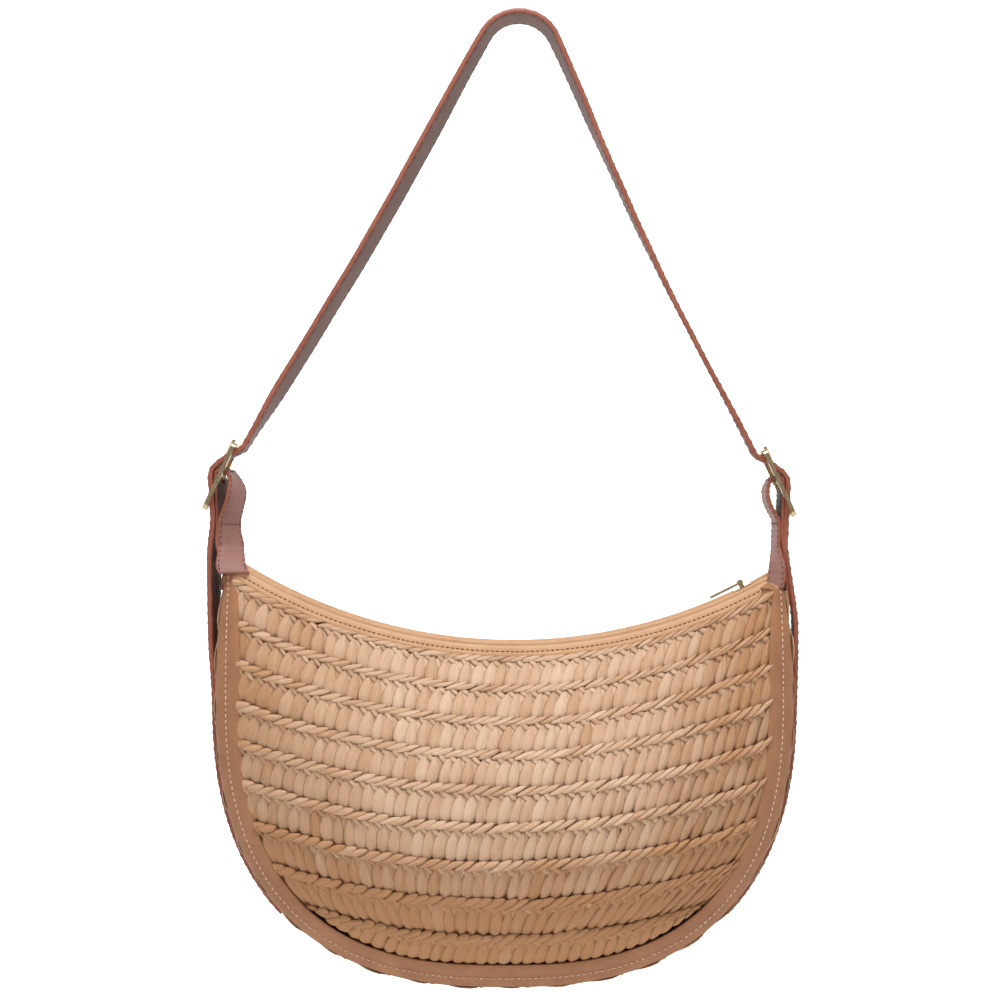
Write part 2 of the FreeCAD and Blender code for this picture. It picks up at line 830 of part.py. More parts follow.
WIDTH = size("strap_width")
strap_faces = [strap_side(reach) for reach in (size("strap_thickness") / 2, -size("strap_thickness") / 2)]
strap = band_between(strap_faces[0], strap_faces[1], WIDTH)
upper_cutter = swing_cutter(size("swing_reach"))
for place, side in SIDES.items():
    strap = strap.cut(slot(side, -7.0, 19.0, -9.0, 12.0))
    half_tab = size("tab_thickness") / 2
    tab = band_between(tab_side(side, half_tab), tab_side(side, -half_tab), WIDTH)
    tab = tab.cut(slot(side, -7.0, 9.0, -4.5, 9.0)).cut(upper_cutter)
    finish_feature("tab_loop_" + place, tab)
finish_feature("strap", strap.cut(upper_cutter))


# --------------------------------------------------------------------------
# Leather that moves with the bag: the tab's two flaps and the strap's tails
# --------------------------------------------------------------------------
FLAP_TOP = size("swing_height") - size("swing_reach") - size("swing_gap")
LAYER = (size("tab_thickness") + size("tab_layer_gap")) / 2


def outline_edge(side, height):
    """Return the place across of the bag's outline above its widest height."""
    part = (height - size("belly_height")) / (corner_height(side) - size("belly_height"))
    half = size("outline_half_width") - size("outline_shoulder") * min(max(part, 0.0), 1.2) ** 2
    return size("bag_centre") + side * half


def outer_flap(side):
    """Return the places of the flap that lies outside the gusset."""
    corner = corner_height(side)
    start = bar_place(side)[0] + side * (size("tab_offset") + LAYER)
    clear = side * (size("piece_gap") + size("tab_thickness") / 2)
    places = [(start, FLAP_TOP)]
    for height in (corner + 4.0, corner - 3.0, corner - 10.0):
        places.append((outline_edge(side, height) + clear, height))
    return places


def inner_flap(side):
    """Return the places of the flap that lies on the end of the zip."""
    start = bar_place(side)[0] + side * (size("tab_offset") - LAYER)
    angle = -size("mouth_left_angle") if side < 0 else size("mouth_right_angle")
    turn = math.radians(angle)
    reach = size("mouth_radius") - size("piece_gap") - size("tab_thickness") / 2
    end = (size("mouth_across") + reach * math.sin(turn), size("mouth_height") - reach * math.cos(turn))
    middle = ((start + end[0]) / 2 + side * 1.5, (FLAP_TOP + end[1]) / 2 - 1.0)
    return [(start, FLAP_TOP), middle, end]


def tail_route(side):
    """Return the places of a strap end that hangs against the gusset."""
    start = bar_place(side)[0] + side * TAIL_OUTWARDS
    clear = size("piece_gap") + size("strap_thickness") / 2
    corner = corner_height(side)
    beside_flap = clear + size("tab_thickness") + size("piece_gap")
    places = [(start, FLAP_TOP)]
    for height, reach in ((corner - 10.0, beside_flap + 0.6), (corner - 30.0, beside_flap)):
        across = outline_edge(side, height) + side * reach
        places.append((side * max(side * across, side * start), height))
    hanging = []
    for across, height in inset_points(rim("outline"), -clear - 0.3)[1:-1]:
        beside = side * (across - size("bag_centre")) > 0
        if beside and size("tail_end_height") < height < size("belly_height") - 5.0:
            hanging.append((across, height))
    return places + (hanging if side < 0 else hanging[::-1])


for place, side in SIDES.items():
    finish_feature("tab_flap_outer_" + place, hanging_band(outer_flap(side), size("tab_thickness"), WIDTH))
    finish_feature("tab_flap_inner_" + place, hanging_band(inner_flap(side), size("tab_thickness"), WIDTH))
    tail = hanging_band(tail_route(side), size("strap_thickness"), WIDTH)
    finish_feature("strap_tail_" + place, tail)
    print("strap tail", place, round(tail.Volume / size("strap_thickness") / WIDTH, 1), "mm long")


# --------------------------------------------------------------------------
# Checks and files
# --------------------------------------------------------------------------
doc.recompute()
for thing in doc.Objects:
    if "Invalid" in thing.State or "Error" in thing.State:
        raise RuntimeError("%s could not be built" % thing.Name)
for node in nodes:
    if node.Shape.isNull() or not node.Shape.isValid() or node.Shape.Volume <= 0.0:
        raise RuntimeError("%s has no valid shape" % node.Label)
for node in nodes:
    node.Shape.exportStep("parts/%s.step" % node.Label)
print(len(nodes), "pieces written")
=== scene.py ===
"""Looks of the braided straw hobo bag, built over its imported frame.

Lengths are written in millimetres in the tables of each class and become
metres when a mesh is made.  +X is the bag's right, -Y its front and +Z up, and
the origin is the centre of the round support under the top of the strap.
"""
import logging
import math
import random
from dataclasses import dataclass
from enum import Enum
from functools import partial
from typing import Callable, Sequence

import bmesh
import bpy
from mathutils import Matrix, Vector, noise


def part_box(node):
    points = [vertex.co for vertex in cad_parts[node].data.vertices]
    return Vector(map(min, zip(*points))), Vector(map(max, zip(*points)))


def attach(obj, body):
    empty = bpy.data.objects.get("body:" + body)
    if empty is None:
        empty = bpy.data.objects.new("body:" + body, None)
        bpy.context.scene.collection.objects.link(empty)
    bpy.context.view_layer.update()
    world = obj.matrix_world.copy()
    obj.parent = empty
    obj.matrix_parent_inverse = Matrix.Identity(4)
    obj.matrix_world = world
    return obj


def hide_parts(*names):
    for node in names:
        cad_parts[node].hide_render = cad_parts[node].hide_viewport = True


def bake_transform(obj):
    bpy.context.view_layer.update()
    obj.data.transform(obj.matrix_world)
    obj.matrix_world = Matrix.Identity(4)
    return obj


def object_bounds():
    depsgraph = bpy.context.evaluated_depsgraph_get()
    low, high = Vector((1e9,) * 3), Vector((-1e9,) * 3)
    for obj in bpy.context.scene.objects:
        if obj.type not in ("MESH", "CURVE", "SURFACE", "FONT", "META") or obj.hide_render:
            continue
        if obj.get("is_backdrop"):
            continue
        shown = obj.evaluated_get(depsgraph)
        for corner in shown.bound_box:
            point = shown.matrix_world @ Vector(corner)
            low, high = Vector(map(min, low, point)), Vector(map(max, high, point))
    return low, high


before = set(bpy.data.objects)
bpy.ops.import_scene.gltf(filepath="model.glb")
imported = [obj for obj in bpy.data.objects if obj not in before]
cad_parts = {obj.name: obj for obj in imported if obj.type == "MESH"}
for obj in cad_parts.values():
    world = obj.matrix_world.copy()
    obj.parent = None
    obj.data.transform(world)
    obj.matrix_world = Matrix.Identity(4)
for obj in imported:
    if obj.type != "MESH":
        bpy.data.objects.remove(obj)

log = logging.getLogger("hobo_bag")

MM = 0.001
FRONT = -1
BACK = 1
PANEL_NAMES = {FRONT: "front", BACK: "back"}
SIDE_NAMES = {-1: "left", 1: "right"}
Place = tuple[float, float]


# Small geometry helpers
def mix(first: float, second: float, part: float) -> float:
    """Return the value that lies a part of the way from first to second."""
    return first + (second - first) * part


def smooth_step(low: float, high: float, value: float) -> float:
    """Return 0 below low, 1 above high and a soft step between them."""
    part = min(max((value - low) / (high - low), 0.0), 1.0)
    return part * part * (3.0 - 2.0 * part)


def between(stops: Sequence[Place], where: float) -> float:
    """Read a value from a list of (where, value) stops, softly joined."""
    if where <= stops[0][0]:
        return stops[0][1]
    for (low, first), (high, second) in zip(stops, stops[1:]):
        if where <= high:
            return mix(first, second, smooth_step(low, high, where))
    return stops[-1][1]


def catmull_rom(points: Sequence[Vector], step: float) -> list[Vector]:
    """Return evenly spaced places on a smooth line through the points.

    Args:
        points: The places that the line goes through, in millimetres.
        step: The wanted distance between two places.

    Returns:
        The places, ends included.
    """
    ends = [points[0] * 2 - points[1], *points, points[-1] * 2 - points[-2]]
    dense = []
    for before, start, end, after in zip(ends, ends[1:], ends[2:], ends[3:]):
        for index in range(24):
            part = index / 24
            low = (end - before) / 2
            high = (after - start) / 2
            square, cube = part**2, part**3
            place = start * (2 * cube - 3 * square + 1) + low * (cube - 2 * square + part)
            dense.append(place + end * (3 * square - 2 * cube) + high * (cube - square))
    dense.append(points[-1].copy())
    return spaced(dense, step)


def spaced(line: Sequence[Vector], step: float) -> list[Vector]:
    """Return places at equal steps along a line of many short pieces."""
    lengths = [0.0]
    for start, end in zip(line, line[1:]):
        lengths.append(lengths[-1] + (end - start).length)
    count = max(round(lengths[-1] / step), 2)
    places, index = [], 0
    for number in range(count + 1):
        target = lengths[-1] * number / count
        while index < len(line) - 2 and lengths[index + 1] < target:
            index += 1
        gap = lengths[index + 1] - lengths[index]
        places.append(line[index].lerp(line[index + 1], (target - lengths[index]) / gap if gap else 0.0))
    return places


def length_of(line: Sequence[Vector]) -> float:
    """Return how long a line of short pieces is."""
    return sum((end - start).length for start, end in zip(line, line[1:]))


class Sketch:
    """Collects grids of points and turns them into one mesh object."""

    def __init__(self, name: str) -> None:
        self.name = name
        self.mesh = bmesh.new()
        self.map = self.mesh.loops.layers.uv.new("strand")
        self.tone = self.mesh.verts.layers.float.new("tone")
        # The hollow attribute carries painted shade: the straw is darker where it is low.
        self.hollow = self.mesh.verts.layers.float.new("hollow")

    def grid(
        self,
        rows: Sequence[Sequence[Vector]],
        spread: Callable[[float, float], Place] = lambda along, across: (along, across),
        tone: float = 0.5,
        hollow: Callable[[float, float], float] = lambda along, across: 1.0,
        materials: Sequence[int] = (0,),
        closed: bool = False,
    ) -> None:
        """Add a grid of faces.

        Args:
            rows: Rows of places in millimetres.
            spread: Returns the strand map's place for parts along and across.
            tone: How pale the strand is, from 0 to 1.
            hollow: Returns how open a place lies, 0 in a gap and 1 outside; the straw paints shade where it
                is low.
            materials: The number of the material of each strip of faces.
            closed: Whether each row joins back to its own start.
        """
        down, over = len(rows) - 1, len(rows[0]) - (0 if closed else 1)
        corners = []
        for along, row in enumerate(rows):
            line = []
            for across, place in enumerate(row):
                corner = self.mesh.verts.new(place * MM)
                corner[self.tone] = tone
                corner[self.hollow] = hollow(along / down, across / over)
                line.append(corner)
            corners.append(line)
        for along in range(down):
            for across in range(over):
                following = (across + 1) % len(rows[0])
                loop = (corners[along][across], corners[along][following])
                loop += (corners[along + 1][following], corners[along + 1][across])
                face = self.mesh.faces.new(loop)
                face.smooth = True
                face.material_index = materials[across % len(materials)]
                parts = ((along, across), (along, across + 1), (along + 1, across + 1), (along + 1, across))
                for corner, (first, second) in zip(face.loops, parts):
                    corner[self.map].uv = spread(first / down, second / over)

    def cap(self, ring: Sequence[Vector], material: int = 0) -> None:
        """Close a ring of places with one face."""
        face = self.mesh.faces.new([self.mesh.verts.new(place * MM) for place in ring])
        face.material_index = material
        for corner in face.verts:
            corner[self.tone], corner[self.hollow] = 0.5, 1.0

    def tube(self, rows: list[list[Vector]], materials: Sequence[int] = (0,), lids: int = 0) -> None:
        """Add rings that are joined to a tube and closed at both ends."""
        self.grid(rows, materials=materials, closed=True)
        for ring in (rows[0], rows[-1]):
            self.cap(ring, lids)

    def seam(
        self, line: list[Vector], outwards: Callable[[Vector], Vector], length: float, width: float
    ) -> None:
        """Sew a stitch at every place of a line but its ends, with material 1."""
        for before, place, after in zip(line, line[1:], line[2:]):
            self.stitch(place, (after - before).normalized(), outwards(place), length, width, 1)

    def stitch(
        self, centre: Vector, along: Vector, outwards: Vector, length: float, width: float, thread: int
    ) -> None:
        """Add one short thread that dips into the leather at both its ends."""
        side = along.cross(outwards).normalized() * width / 2
        rows = []
        for part in (-1.0, -0.75, 0.0, 0.75, 1.0):
            swell = math.sqrt(max(1.0 - abs(part) ** 2.5, 0.0)) + 0.05
            middle = centre + along * (part * length / 2) + outwards * (width * (0.25 * swell - 0.12))
            ring = []
            for corner in range(6):
                turn = math.tau * corner / 6
                reach = side * math.cos(turn) + outwards * (width / 2 * math.sin(turn))
                ring.append(middle + reach * swell)
            rows.append(ring)
        self.grid(rows, closed=True, materials=(thread,))

    def finish(self, *materials: bpy.types.Material, weld: bool = True) -> bpy.types.Object:
        """Make the object, with its place in its mesh."""
        if weld:
            bmesh.ops.remove_doubles(self.mesh, verts=self.mesh.verts, dist=0.01 * MM)
        bmesh.ops.recalc_face_normals(self.mesh, faces=self.mesh.faces)
        data = bpy.data.meshes.new(self.name)
        self.mesh.to_mesh(data)
        self.mesh.free()
        thing = bpy.data.objects.new(self.name, data)
        bpy.context.scene.collection.objects.link(thing)
        for material in materials:
            data.materials.append(material)
        return thing

    def finish_on_bag(self, name: str, slot: str, *materials: bpy.types.Material, weld: bool = True) -> None:
        """Make the object that stands for one node and moves with the bag."""
        piece = self.finish(*materials, weld=weld)
        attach(piece, "bag")
        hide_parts(name)


# Shader maths
class Signal:
    """A shader socket that can be added, scaled and compared like a number."""

    def __init__(self, graph: "Graph", socket: bpy.types.NodeSocket) -> None:
        self.graph = graph
        self.socket = socket

    def _maths(self, operation: str, *others: "Signal | float", clamp: bool = False) -> "Signal":
        inputs = {0: self, **{number: other for number, other in enumerate(others, start=1)}}
        return self.graph.node("ShaderNodeMath", inputs, operation=operation, use_clamp=clamp)

    def __add__(self, other: "Signal | float") -> "Signal":
        return self._maths("ADD", other)

    def __sub__(self, other: "Signal | float") -> "Signal":
        return self._maths("SUBTRACT", other)

    def __mul__(self, other: "Signal | float") -> "Signal":
        return self._maths("MULTIPLY", other)

    def clamped(self) -> "Signal":
        """Return this signal held between 0 and 1."""
        return self._maths("ADD", 0.0, clamp=True)

    def stretched(self, low: float, high: float) -> "Signal":
        """Return 0 where this is under low and 1 where it is over high."""
        limits = {"Value": self, "From Min": low, "From Max": high}
        return self.graph.node("ShaderNodeMapRange", limits, interpolation_type="SMOOTHSTEP")


class Graph:
    """The node tree of one material."""

    def __init__(self, name: str) -> None:
        self.material = bpy.data.materials.new(name)
        self.material.use_nodes = True
        self.tree = self.material.node_tree
        self.tree.nodes.clear()

    def node(self, kind: str, inputs: dict | None = None, output: str | int = 0, **settings) -> Signal:
        """Make one node.

        Args:
            kind: The node's type.
            inputs: Values or signals for its inputs, by name or number.
            output: The output that is wanted.
            **settings: The node's own settings.

        Returns:
            The wanted output.
        """
        return Signal(self, self._made(kind, inputs or {}, settings).outputs[output])

    def _made(self, kind: str, inputs: dict, settings: dict) -> bpy.types.Node:
        """Make a node with its settings and join or set its inputs."""
        made = self.tree.nodes.new(kind)
        for name, value in settings.items():
            setattr(made, name, value)
        for name, value in inputs.items():
            if isinstance(value, Signal):
                self.tree.links.new(value.socket, made.inputs[name])
            else:
                made.inputs[name].default_value = value
        return made

    def place(self) -> Signal:
        """Return the place on the object, in metres."""
        return self.node("ShaderNodeTexCoord", output="Object")

    def attribute(self, name: str) -> Signal:
        """Return a number stored on the mesh."""
        return self.node("ShaderNodeAttribute", output="Fac", attribute_name=name)

    def scaled(self, place: Signal, scale: Sequence[float]) -> Signal:
        """Return a place stretched along its axes."""
        return self.node("ShaderNodeMapping", {"Vector": place, "Scale": scale})

    def noise(self, place: Signal, scale: float, detail: float = 3.0) -> Signal:
        """Return soft noise between 0 and 1."""
        return self.node("ShaderNodeTexNoise", {"Vector": place, "Scale": scale, "Detail": detail})

    def blend(self, part: Signal, first: Signal | tuple, second: Signal | tuple) -> Signal:
        """Return a colour between two colours."""
        sockets = {0: part, 6: first, 7: second}
        return self.node("ShaderNodeMix", sockets, output=2, data_type="RGBA")

    def bump(self, height: Signal, distance: float, strength: float) -> Signal:
        """Return a normal from a height."""
        return self.node("ShaderNodeBump", {"Height": height, "Distance": distance, "Strength": strength})

    def surface(self, **values) -> bpy.types.Material:
        """Finish the material with one Principled shader."""
        titles = (name.replace("_", " ").title().replace("Ior", "IOR") for name in values)
        shader = self.node("ShaderNodeBsdfPrincipled", dict(zip(titles, values.values())))
        self._made("ShaderNodeOutputMaterial", {"Surface": shader}, {})
        return self.material


def colour(red: float, green: float, blue: float) -> tuple[float, float, float, float]:
    """Turn a display colour from 0 to 255 into the shader's own scale."""
    return tuple((part / 255.0) ** 2.2 for part in (red, green, blue)) + (1.0,)


# Finishes
@dataclass(frozen=True)
class StrawFinish:
    """Dried flat straw with fine fibres along each strand."""

    name: str = "braided_straw"
    pale: tuple = colour(238, 207, 178)
    warm: tuple = colour(188, 138, 97)
    # The gap colour is painted shade: it darkens the gaps between strands and the strand edges.
    gap: tuple = colour(138, 92, 60)

    def make(self) -> bpy.types.Material:
        """Return the straw material."""
        graph = Graph(self.name)
        strand = graph.node("ShaderNodeUVMap", uv_map="strand")
        fibres = graph.noise(graph.scaled(strand, (70.0, 1500.0, 1.0)), 1.0, 4.0)
        ribs = graph.noise(graph.scaled(strand, (30.0, 420.0, 1.0)), 1.0, 2.0)
        blotches = graph.noise(graph.place(), 38.0)
        tone = graph.attribute("tone")
        # Low tone, which carries the panels' painted shade, pulls the straw towards the warm colour.
        paleness = (tone * 0.7 + fibres * 0.75 + blotches * 0.5 - 0.45).clamped()
        straw = graph.blend(paleness, self.warm, self.pale)
        # Painted shade: where hollow is low, at strand edges and tips and on the sheet underneath, the straw
        # turns to the gap colour.
        unshaded_part = graph.attribute("hollow").stretched(0.0, 0.85)
        base = graph.blend(unshaded_part, self.gap, straw)
        relief = graph.bump(ribs + fibres * 0.5, 0.0007, 0.9)
        return graph.surface(
            base_color=base, roughness=fibres * 0.2 + 0.45, normal=relief, specular_ior_level=0.35
        )


@dataclass(frozen=True)
class LeatherFinish:
    """Coated leather with a fine pebbled grain and slightly darker hollows."""

    name: str
    face: tuple
    shade: tuple
    roughness: float = 0.42
    grain: float = 900.0
    depth: float = 0.00012

    def make(self) -> bpy.types.Material:
        """Return the leather material."""
        graph = Graph(self.name)
        place = graph.place()
        cells = graph.node("ShaderNodeTexVoronoi", {"Vector": place, "Scale": self.grain}, output="Distance")
        clouds = graph.noise(place, 55.0)
        wear = graph.noise(place, 320.0)
        part = (clouds * 0.9 + wear * 0.35 + cells * 0.2 - 0.25).clamped()
        base = graph.blend(part, self.shade, self.face)
        relief = graph.bump(cells + wear * 0.6, self.depth, 0.6)
        return graph.surface(
            base_color=base,
            roughness=wear * 0.16 + self.roughness,
            normal=relief,
            specular_ior_level=0.45,
        )


@dataclass(frozen=True)
class BrassFinish:
    """Pale polished brass with faint rubbing marks."""

    name: str = "pale_brass"
    face: tuple = colour(238, 216, 176)
    worn: tuple = colour(202, 172, 128)

    def make(self) -> bpy.types.Material:
        """Return the metal material."""
        graph = Graph(self.name)
        place = graph.place()
        marks = graph.noise(graph.scaled(place, (900.0, 900.0, 140.0)), 1.0)
        clouds = graph.noise(place, 130.0)
        base = graph.blend((clouds * 0.8 + marks * 0.3).clamped(), self.worn, self.face)
        relief = graph.bump(marks, 0.00003, 0.35)
        return graph.surface(base_color=base, metallic=1.0, roughness=marks * 0.18 + 0.16, normal=relief)


@dataclass(frozen=True)
class ClothFinish:
    """Plain woven cloth."""

    name: str
    thread: tuple
    gap: tuple
    pitch: float = 0.0007

    def make(self) -> bpy.types.Material:
        """Return the cloth material."""
        graph = Graph(self.name)
        place = graph.place()
        waves = []
        for direction in ("X", "Z"):
            settings = {"Vector": place, "Scale": 0.314 / self.pitch, "Distortion": 0.4}
            waves.append(graph.node("ShaderNodeTexWave", settings, output="Fac", bands_direction=direction))
        weave = waves[0] * 0.5 + waves[1] * 0.5
        base = graph.blend(weave.stretched(0.15, 0.8), self.gap, self.thread)
        relief = graph.bump(weave, 0.0002, 0.7)
        return graph.surface(base_color=base, roughness=0.85, normal=relief, sheen_weight=0.2)


@dataclass(frozen=True)
class ThreadFinish:
    """Waxed sewing thread."""

    name: str
    face: tuple
    shade: tuple

    def make(self) -> bpy.types.Material:
        """Return the thread material."""
        graph = Graph(self.name)
        place = graph.place()
        twist = graph.noise(place, 1400.0)
        base = graph.blend(twist.stretched(0.35, 0.65), self.shade, self.face)
        return graph.surface(base_color=base, roughness=0.6, normal=graph.bump(twist, 0.0001, 0.5))


@dataclass(frozen=True)
class StudioFinish:
    """Plain white paper that is lit evenly."""

    name: str = "studio_paper"

    def make(self) -> bpy.types.Material:
        """Return the backdrop material."""
        graph = Graph(self.name)
        place = graph.place()
        grain = graph.noise(place, 40.0)
        base = graph.blend(grain, (0.9, 0.9, 0.9, 1.0), (0.93, 0.93, 0.93, 1.0))
        behind = graph.node("ShaderNodeSeparateXYZ", {"Vector": place}, output="Y").stretched(0.15, 0.6)
        glow = graph.blend(behind, (0.0, 0.0, 0.0, 1.0), (1.0, 1.0, 1.0, 1.0))
        return graph.surface(base_color=base, roughness=0.9, emission_color=glow, emission_strength=0.9)


class Finishes:
    """Every material of the object, made once."""

    def __init__(self) -> None:
        self.straw = StrawFinish().make()
        self.tan = LeatherFinish("tan_leather", colour(222, 178, 138), colour(196, 146, 104)).make()
        # The seam bands get a darker copy of the tan leather: painted shade, as the bands turn away from the
        # light.
        self.shaded_band = LeatherFinish("tan_piping", colour(188, 134, 97), colour(152, 102, 70)).make()
        face = LeatherFinish("brown_leather", colour(168, 123, 113), colour(137, 96, 88), 0.5).make()
        edge = LeatherFinish("brown_edge", colour(176, 104, 80), colour(138, 78, 62), 0.4).make()
        # The inner face of the strap and tabs gets a darker copy of the brown leather: painted shade for the
        # side that faces away from the light.
        back = LeatherFinish("shaded_brown_leather", colour(128, 96, 88), colour(98, 72, 66), 0.55).make()
        self.brass = BrassFinish().make()
        self.lining = ClothFinish("cotton_lining", colour(206, 190, 164), colour(168, 150, 122)).make()
        self.zip_cloth = ClothFinish("zip_cloth", colour(196, 134, 84), colour(146, 92, 54), 0.0005).make()
        self.pale_thread = ThreadFinish("pale_thread", colour(240, 214, 190), colour(204, 168, 138)).make()
        self.brown_thread = ThreadFinish("brown_thread", colour(168, 112, 76), colour(122, 78, 52)).make()
        dark_thread = ThreadFinish("dark_thread", colour(104, 62, 54), colour(74, 42, 38)).make()
        self.belt = (face, edge, back, dark_thread)
        self.paper = StudioFinish().make()


# The bag's shape, as in its frame
@dataclass
class BagShape:
    """The curved surfaces of the bag that its pieces lie on, in millimetres.

    Attributes:
        centre: Where the bag's middle is, to the right of the support.
        belly_height: The height at which the bag is widest.
        outline: Half width, drop below the belly, roundness and shoulder of the outer edge.
        crease: The same four values of the edge of the panels.
        corner_heights: The heights of the left and the right upper corner.
        shoulder: How far the upper corners' narrowing reaches down from above.
        belly_row: The row of braid that stands out furthest.
        panel_inset: How far the panels' ends lie inside the crease.
        middle_rows: Height of the first row's lower edge, pitch and its growth, in the middle.
        side_rows: The same three values at the sides.
        row_tilt: How much the first rows rise towards the left corner.
        turn_length: The length that sets how many places the lower half has.
        turn_crowding: How much closer those places are at the sides.
    """

    centre: float = -10.0
    belly_height: float = -436.0
    outline: tuple = (195.7, 199.8, 2.5, 5.5)
    crease: tuple = (178.9, 184.0, 2.65, -4.0)
    corner_heights: tuple = (-357.0, -367.3)
    shoulder: float = 79.0
    gusset_depth: float = 20.0
    corner_depth: float = 12.0
    crease_out: float = 30.0
    belly_out: float = 75.0
    rows: int = 9
    belly_row: float = 5.7
    panel_inset: float = 3.2
    mouth_across: float = -3.4
    mouth_height: float = -48.7
    mouth_radius: float = 354.0
    facing_width: float = 10.0
    facing_top: float = 12.4
    facing_low: float = 17.1
    middle_rows: tuple = (-432.2, 19.6, 0.56)
    side_rows: tuple = (-392.3, 24.8, 0.27)
    row_tilt: float = 3.4
    turn_length: float = 260.0
    turn_crowding: float = 1.15

    def corner_height(self, side: int) -> float:
        """Return how high the bag's corner is on one side."""
        return self.corner_heights[0 if side < 0 else 1]

    def half_width(self, kind: tuple, height: float, inset: float = 0.0) -> float:
        """Return half the width of the outline or the crease at a height."""
        half, drop, power, shoulder = kind
        below = self.belly_height - height
        if below <= 0.0:
            return half - inset - shoulder * min(-below / self.shoulder, 1.25) ** 2
        part = min(below / (drop - inset), 1.0)
        return (half - inset) * (1.0 - part**power) ** (1.0 / power)

    def rim(self, kind: tuple, step: float = 4.0) -> list[Place]:
        """Return places on the outline or the crease, corner to corner.

        Both kinds return the same number of places, which match one to one.
        """
        half, drop, power, shoulder = kind
        places = []
        top_steps = round(self.shoulder / step)
        turn_steps = round(self.turn_length / step)
        for side in (-1, 1):
            rise = self.corner_height(side) - self.belly_height
            stretch = []
            for index in range(top_steps):
                part = 1.0 - index / top_steps
                stretch.append((side * (half - shoulder * part**2), rise * part))
            for index in range(turn_steps + 1):
                turn = math.pi / 2 * (index / turn_steps) ** self.turn_crowding
                across = half * max(math.cos(turn), 0.0) ** (2 / power)
                stretch.append((side * across, -drop * math.sin(turn) ** (2 / power)))
            places += stretch if side < 0 else stretch[-2::-1]
        return [(self.centre + across, self.belly_height + above) for across, above in places]

    def depth_at(self, height: float, normal: float, corner: float) -> float:
        """Return a depth that narrows towards the bag's upper corners."""
        part = min(max((height - self.belly_height) / self.shoulder, 0.0), 1.0)
        return normal - (normal - corner) * part**2

    def mouth_place(self, radius: float, angle: float, depth: float) -> Vector:
        """Return a place on the mouth's arc, at an angle from straight down."""
        turn = math.radians(angle)
        across = self.mouth_across + radius * math.sin(turn)
        return Vector((across, depth, self.mouth_height - radius * math.cos(turn)))

    @staticmethod
    def _edge_height(heights: tuple, lower: float) -> float:
        """Return the height of a row's edge, from a start, a pitch and its growth."""
        first, pitch, growth = heights
        return first - pitch * lower - growth * lower**2

    def _boundary(self, row: float, along: float) -> Place:
        """Return a place on the edge between two rows, seen from the front."""
        side_height = self._edge_height(self.side_rows, row - 1.0)
        middle = self._edge_height(self.middle_rows, row - 1.0)
        tilt = self.row_tilt * max(1.0 - row / 3.0, 0.0)
        across = self.half_width(self.crease, side_height, self.panel_inset) * along
        return across, side_height + (middle - side_height) * (1.0 - along**2) - tilt * along

    def _seen(self, row: float, along: float) -> Place:
        """Return a place on the panel, seen from the front."""
        if row < 1.0:
            low_across, low = self._boundary(1.0, along)
            across = self.half_width(self.crease, self.corner_heights[0], self.panel_inset) * along
            offset = self.centre + across - self.mouth_across
            radius = self.mouth_radius + self.facing_width
            top = self.mouth_height - math.sqrt(radius**2 - offset**2)
            return mix(across, low_across, row), mix(top, low, row)
        last = self.rows - 1.0
        if row > last:
            across, height = self._boundary(last, along)
            half, drop, power, _ = self.crease
            part = min(abs(across) / (half - self.panel_inset), 1.0)
            lowest = self.belly_height - (drop - self.panel_inset) * (1.0 - part**power) ** (1 / power)
            return across, mix(height, lowest, row - last)
        return self._boundary(row, along)

    def _depth(self, row: float, along: float) -> float:
        """Return how far a place on the panel stands out."""
        if row <= self.belly_row:
            start = self.facing_low
            middle = mix(start, self.belly_out, math.sin(math.pi / 2 * max(row, 0.0) / self.belly_row))
        else:
            part = min((row - self.belly_row) / (self.rows - self.belly_row), 1.08)
            middle = mix(self.crease_out, self.belly_out, math.cos(math.pi / 2 * part))
        drop = (self.crease_out - self.facing_low) * max(1.0 - row / 3.0, 0.0) ** 1.5
        edge = self.crease_out - drop
        return edge + (middle - edge) * max(1.0 - abs(along) ** 2.2, 0.0)

    def panel(self, side: int, row: float, along: float) -> Vector:
        """Return a place on the front or back panel."""
        across, height = self._seen(row, along)
        return Vector((self.centre + across, side * self._depth(row, along), height))

    def panel_lifted(self, side: int, row: float, along: float, lift: float) -> Vector:
        """Return a place at a distance outside the front or back panel."""
        place = self.panel(side, row, along)
        over = self.panel(side, row, along + 0.01) - place
        down = self.panel(side, row + 0.05, along) - self.panel(side, row - 0.05, along)
        outwards = over.cross(down).normalized()
        if outwards.y * side < 0.0:
            outwards.negate()
        return place + outwards * lift


# Braid: strands of straw laid on a surface
class Lay(Enum):
    """The tiers of strands in one row of braid, in the order they overlap."""

    UNDER = "under"
    PAD = "pad"
    LEAF = "leaf"
    ROPE = "rope"


@dataclass(frozen=True)
class Strand:
    """The strand of one tier of a braid.

    Attributes:
        start: Where it starts, in pitches along the row and rows down.
        end: Where it ends, given in the same way.
        width: Its width in pitches.
        blunt: Where along its length it is fullest.
        lift: How high it lies, in millimetres.
        swell: How much its middle stands out, in millimetres.
        roll: How much higher its one edge is, in millimetres.
    """

    start: Place
    end: Place
    width: float
    blunt: float
    lift: float
    swell: float
    roll: float


STRANDS = {
    Lay.UNDER: Strand((0.68, 0.06), (0.52, 0.78), 1.25, 0.5, -0.3, 1.6, 0.5),
    Lay.PAD: Strand((0.36, 0.12), (-0.14, 1.10), 1.36, 0.6, 0.6, 2.2, 1.0),
    Lay.LEAF: Strand((-0.46, 0.10), (0.28, 0.36), 0.62, 0.45, 1.3, 1.2, 0.5),
    Lay.ROPE: Strand((-1.05, 0.2), (1.0, -0.06), 0.6, 0.5, 1.7, 1.8, 0.7),
}


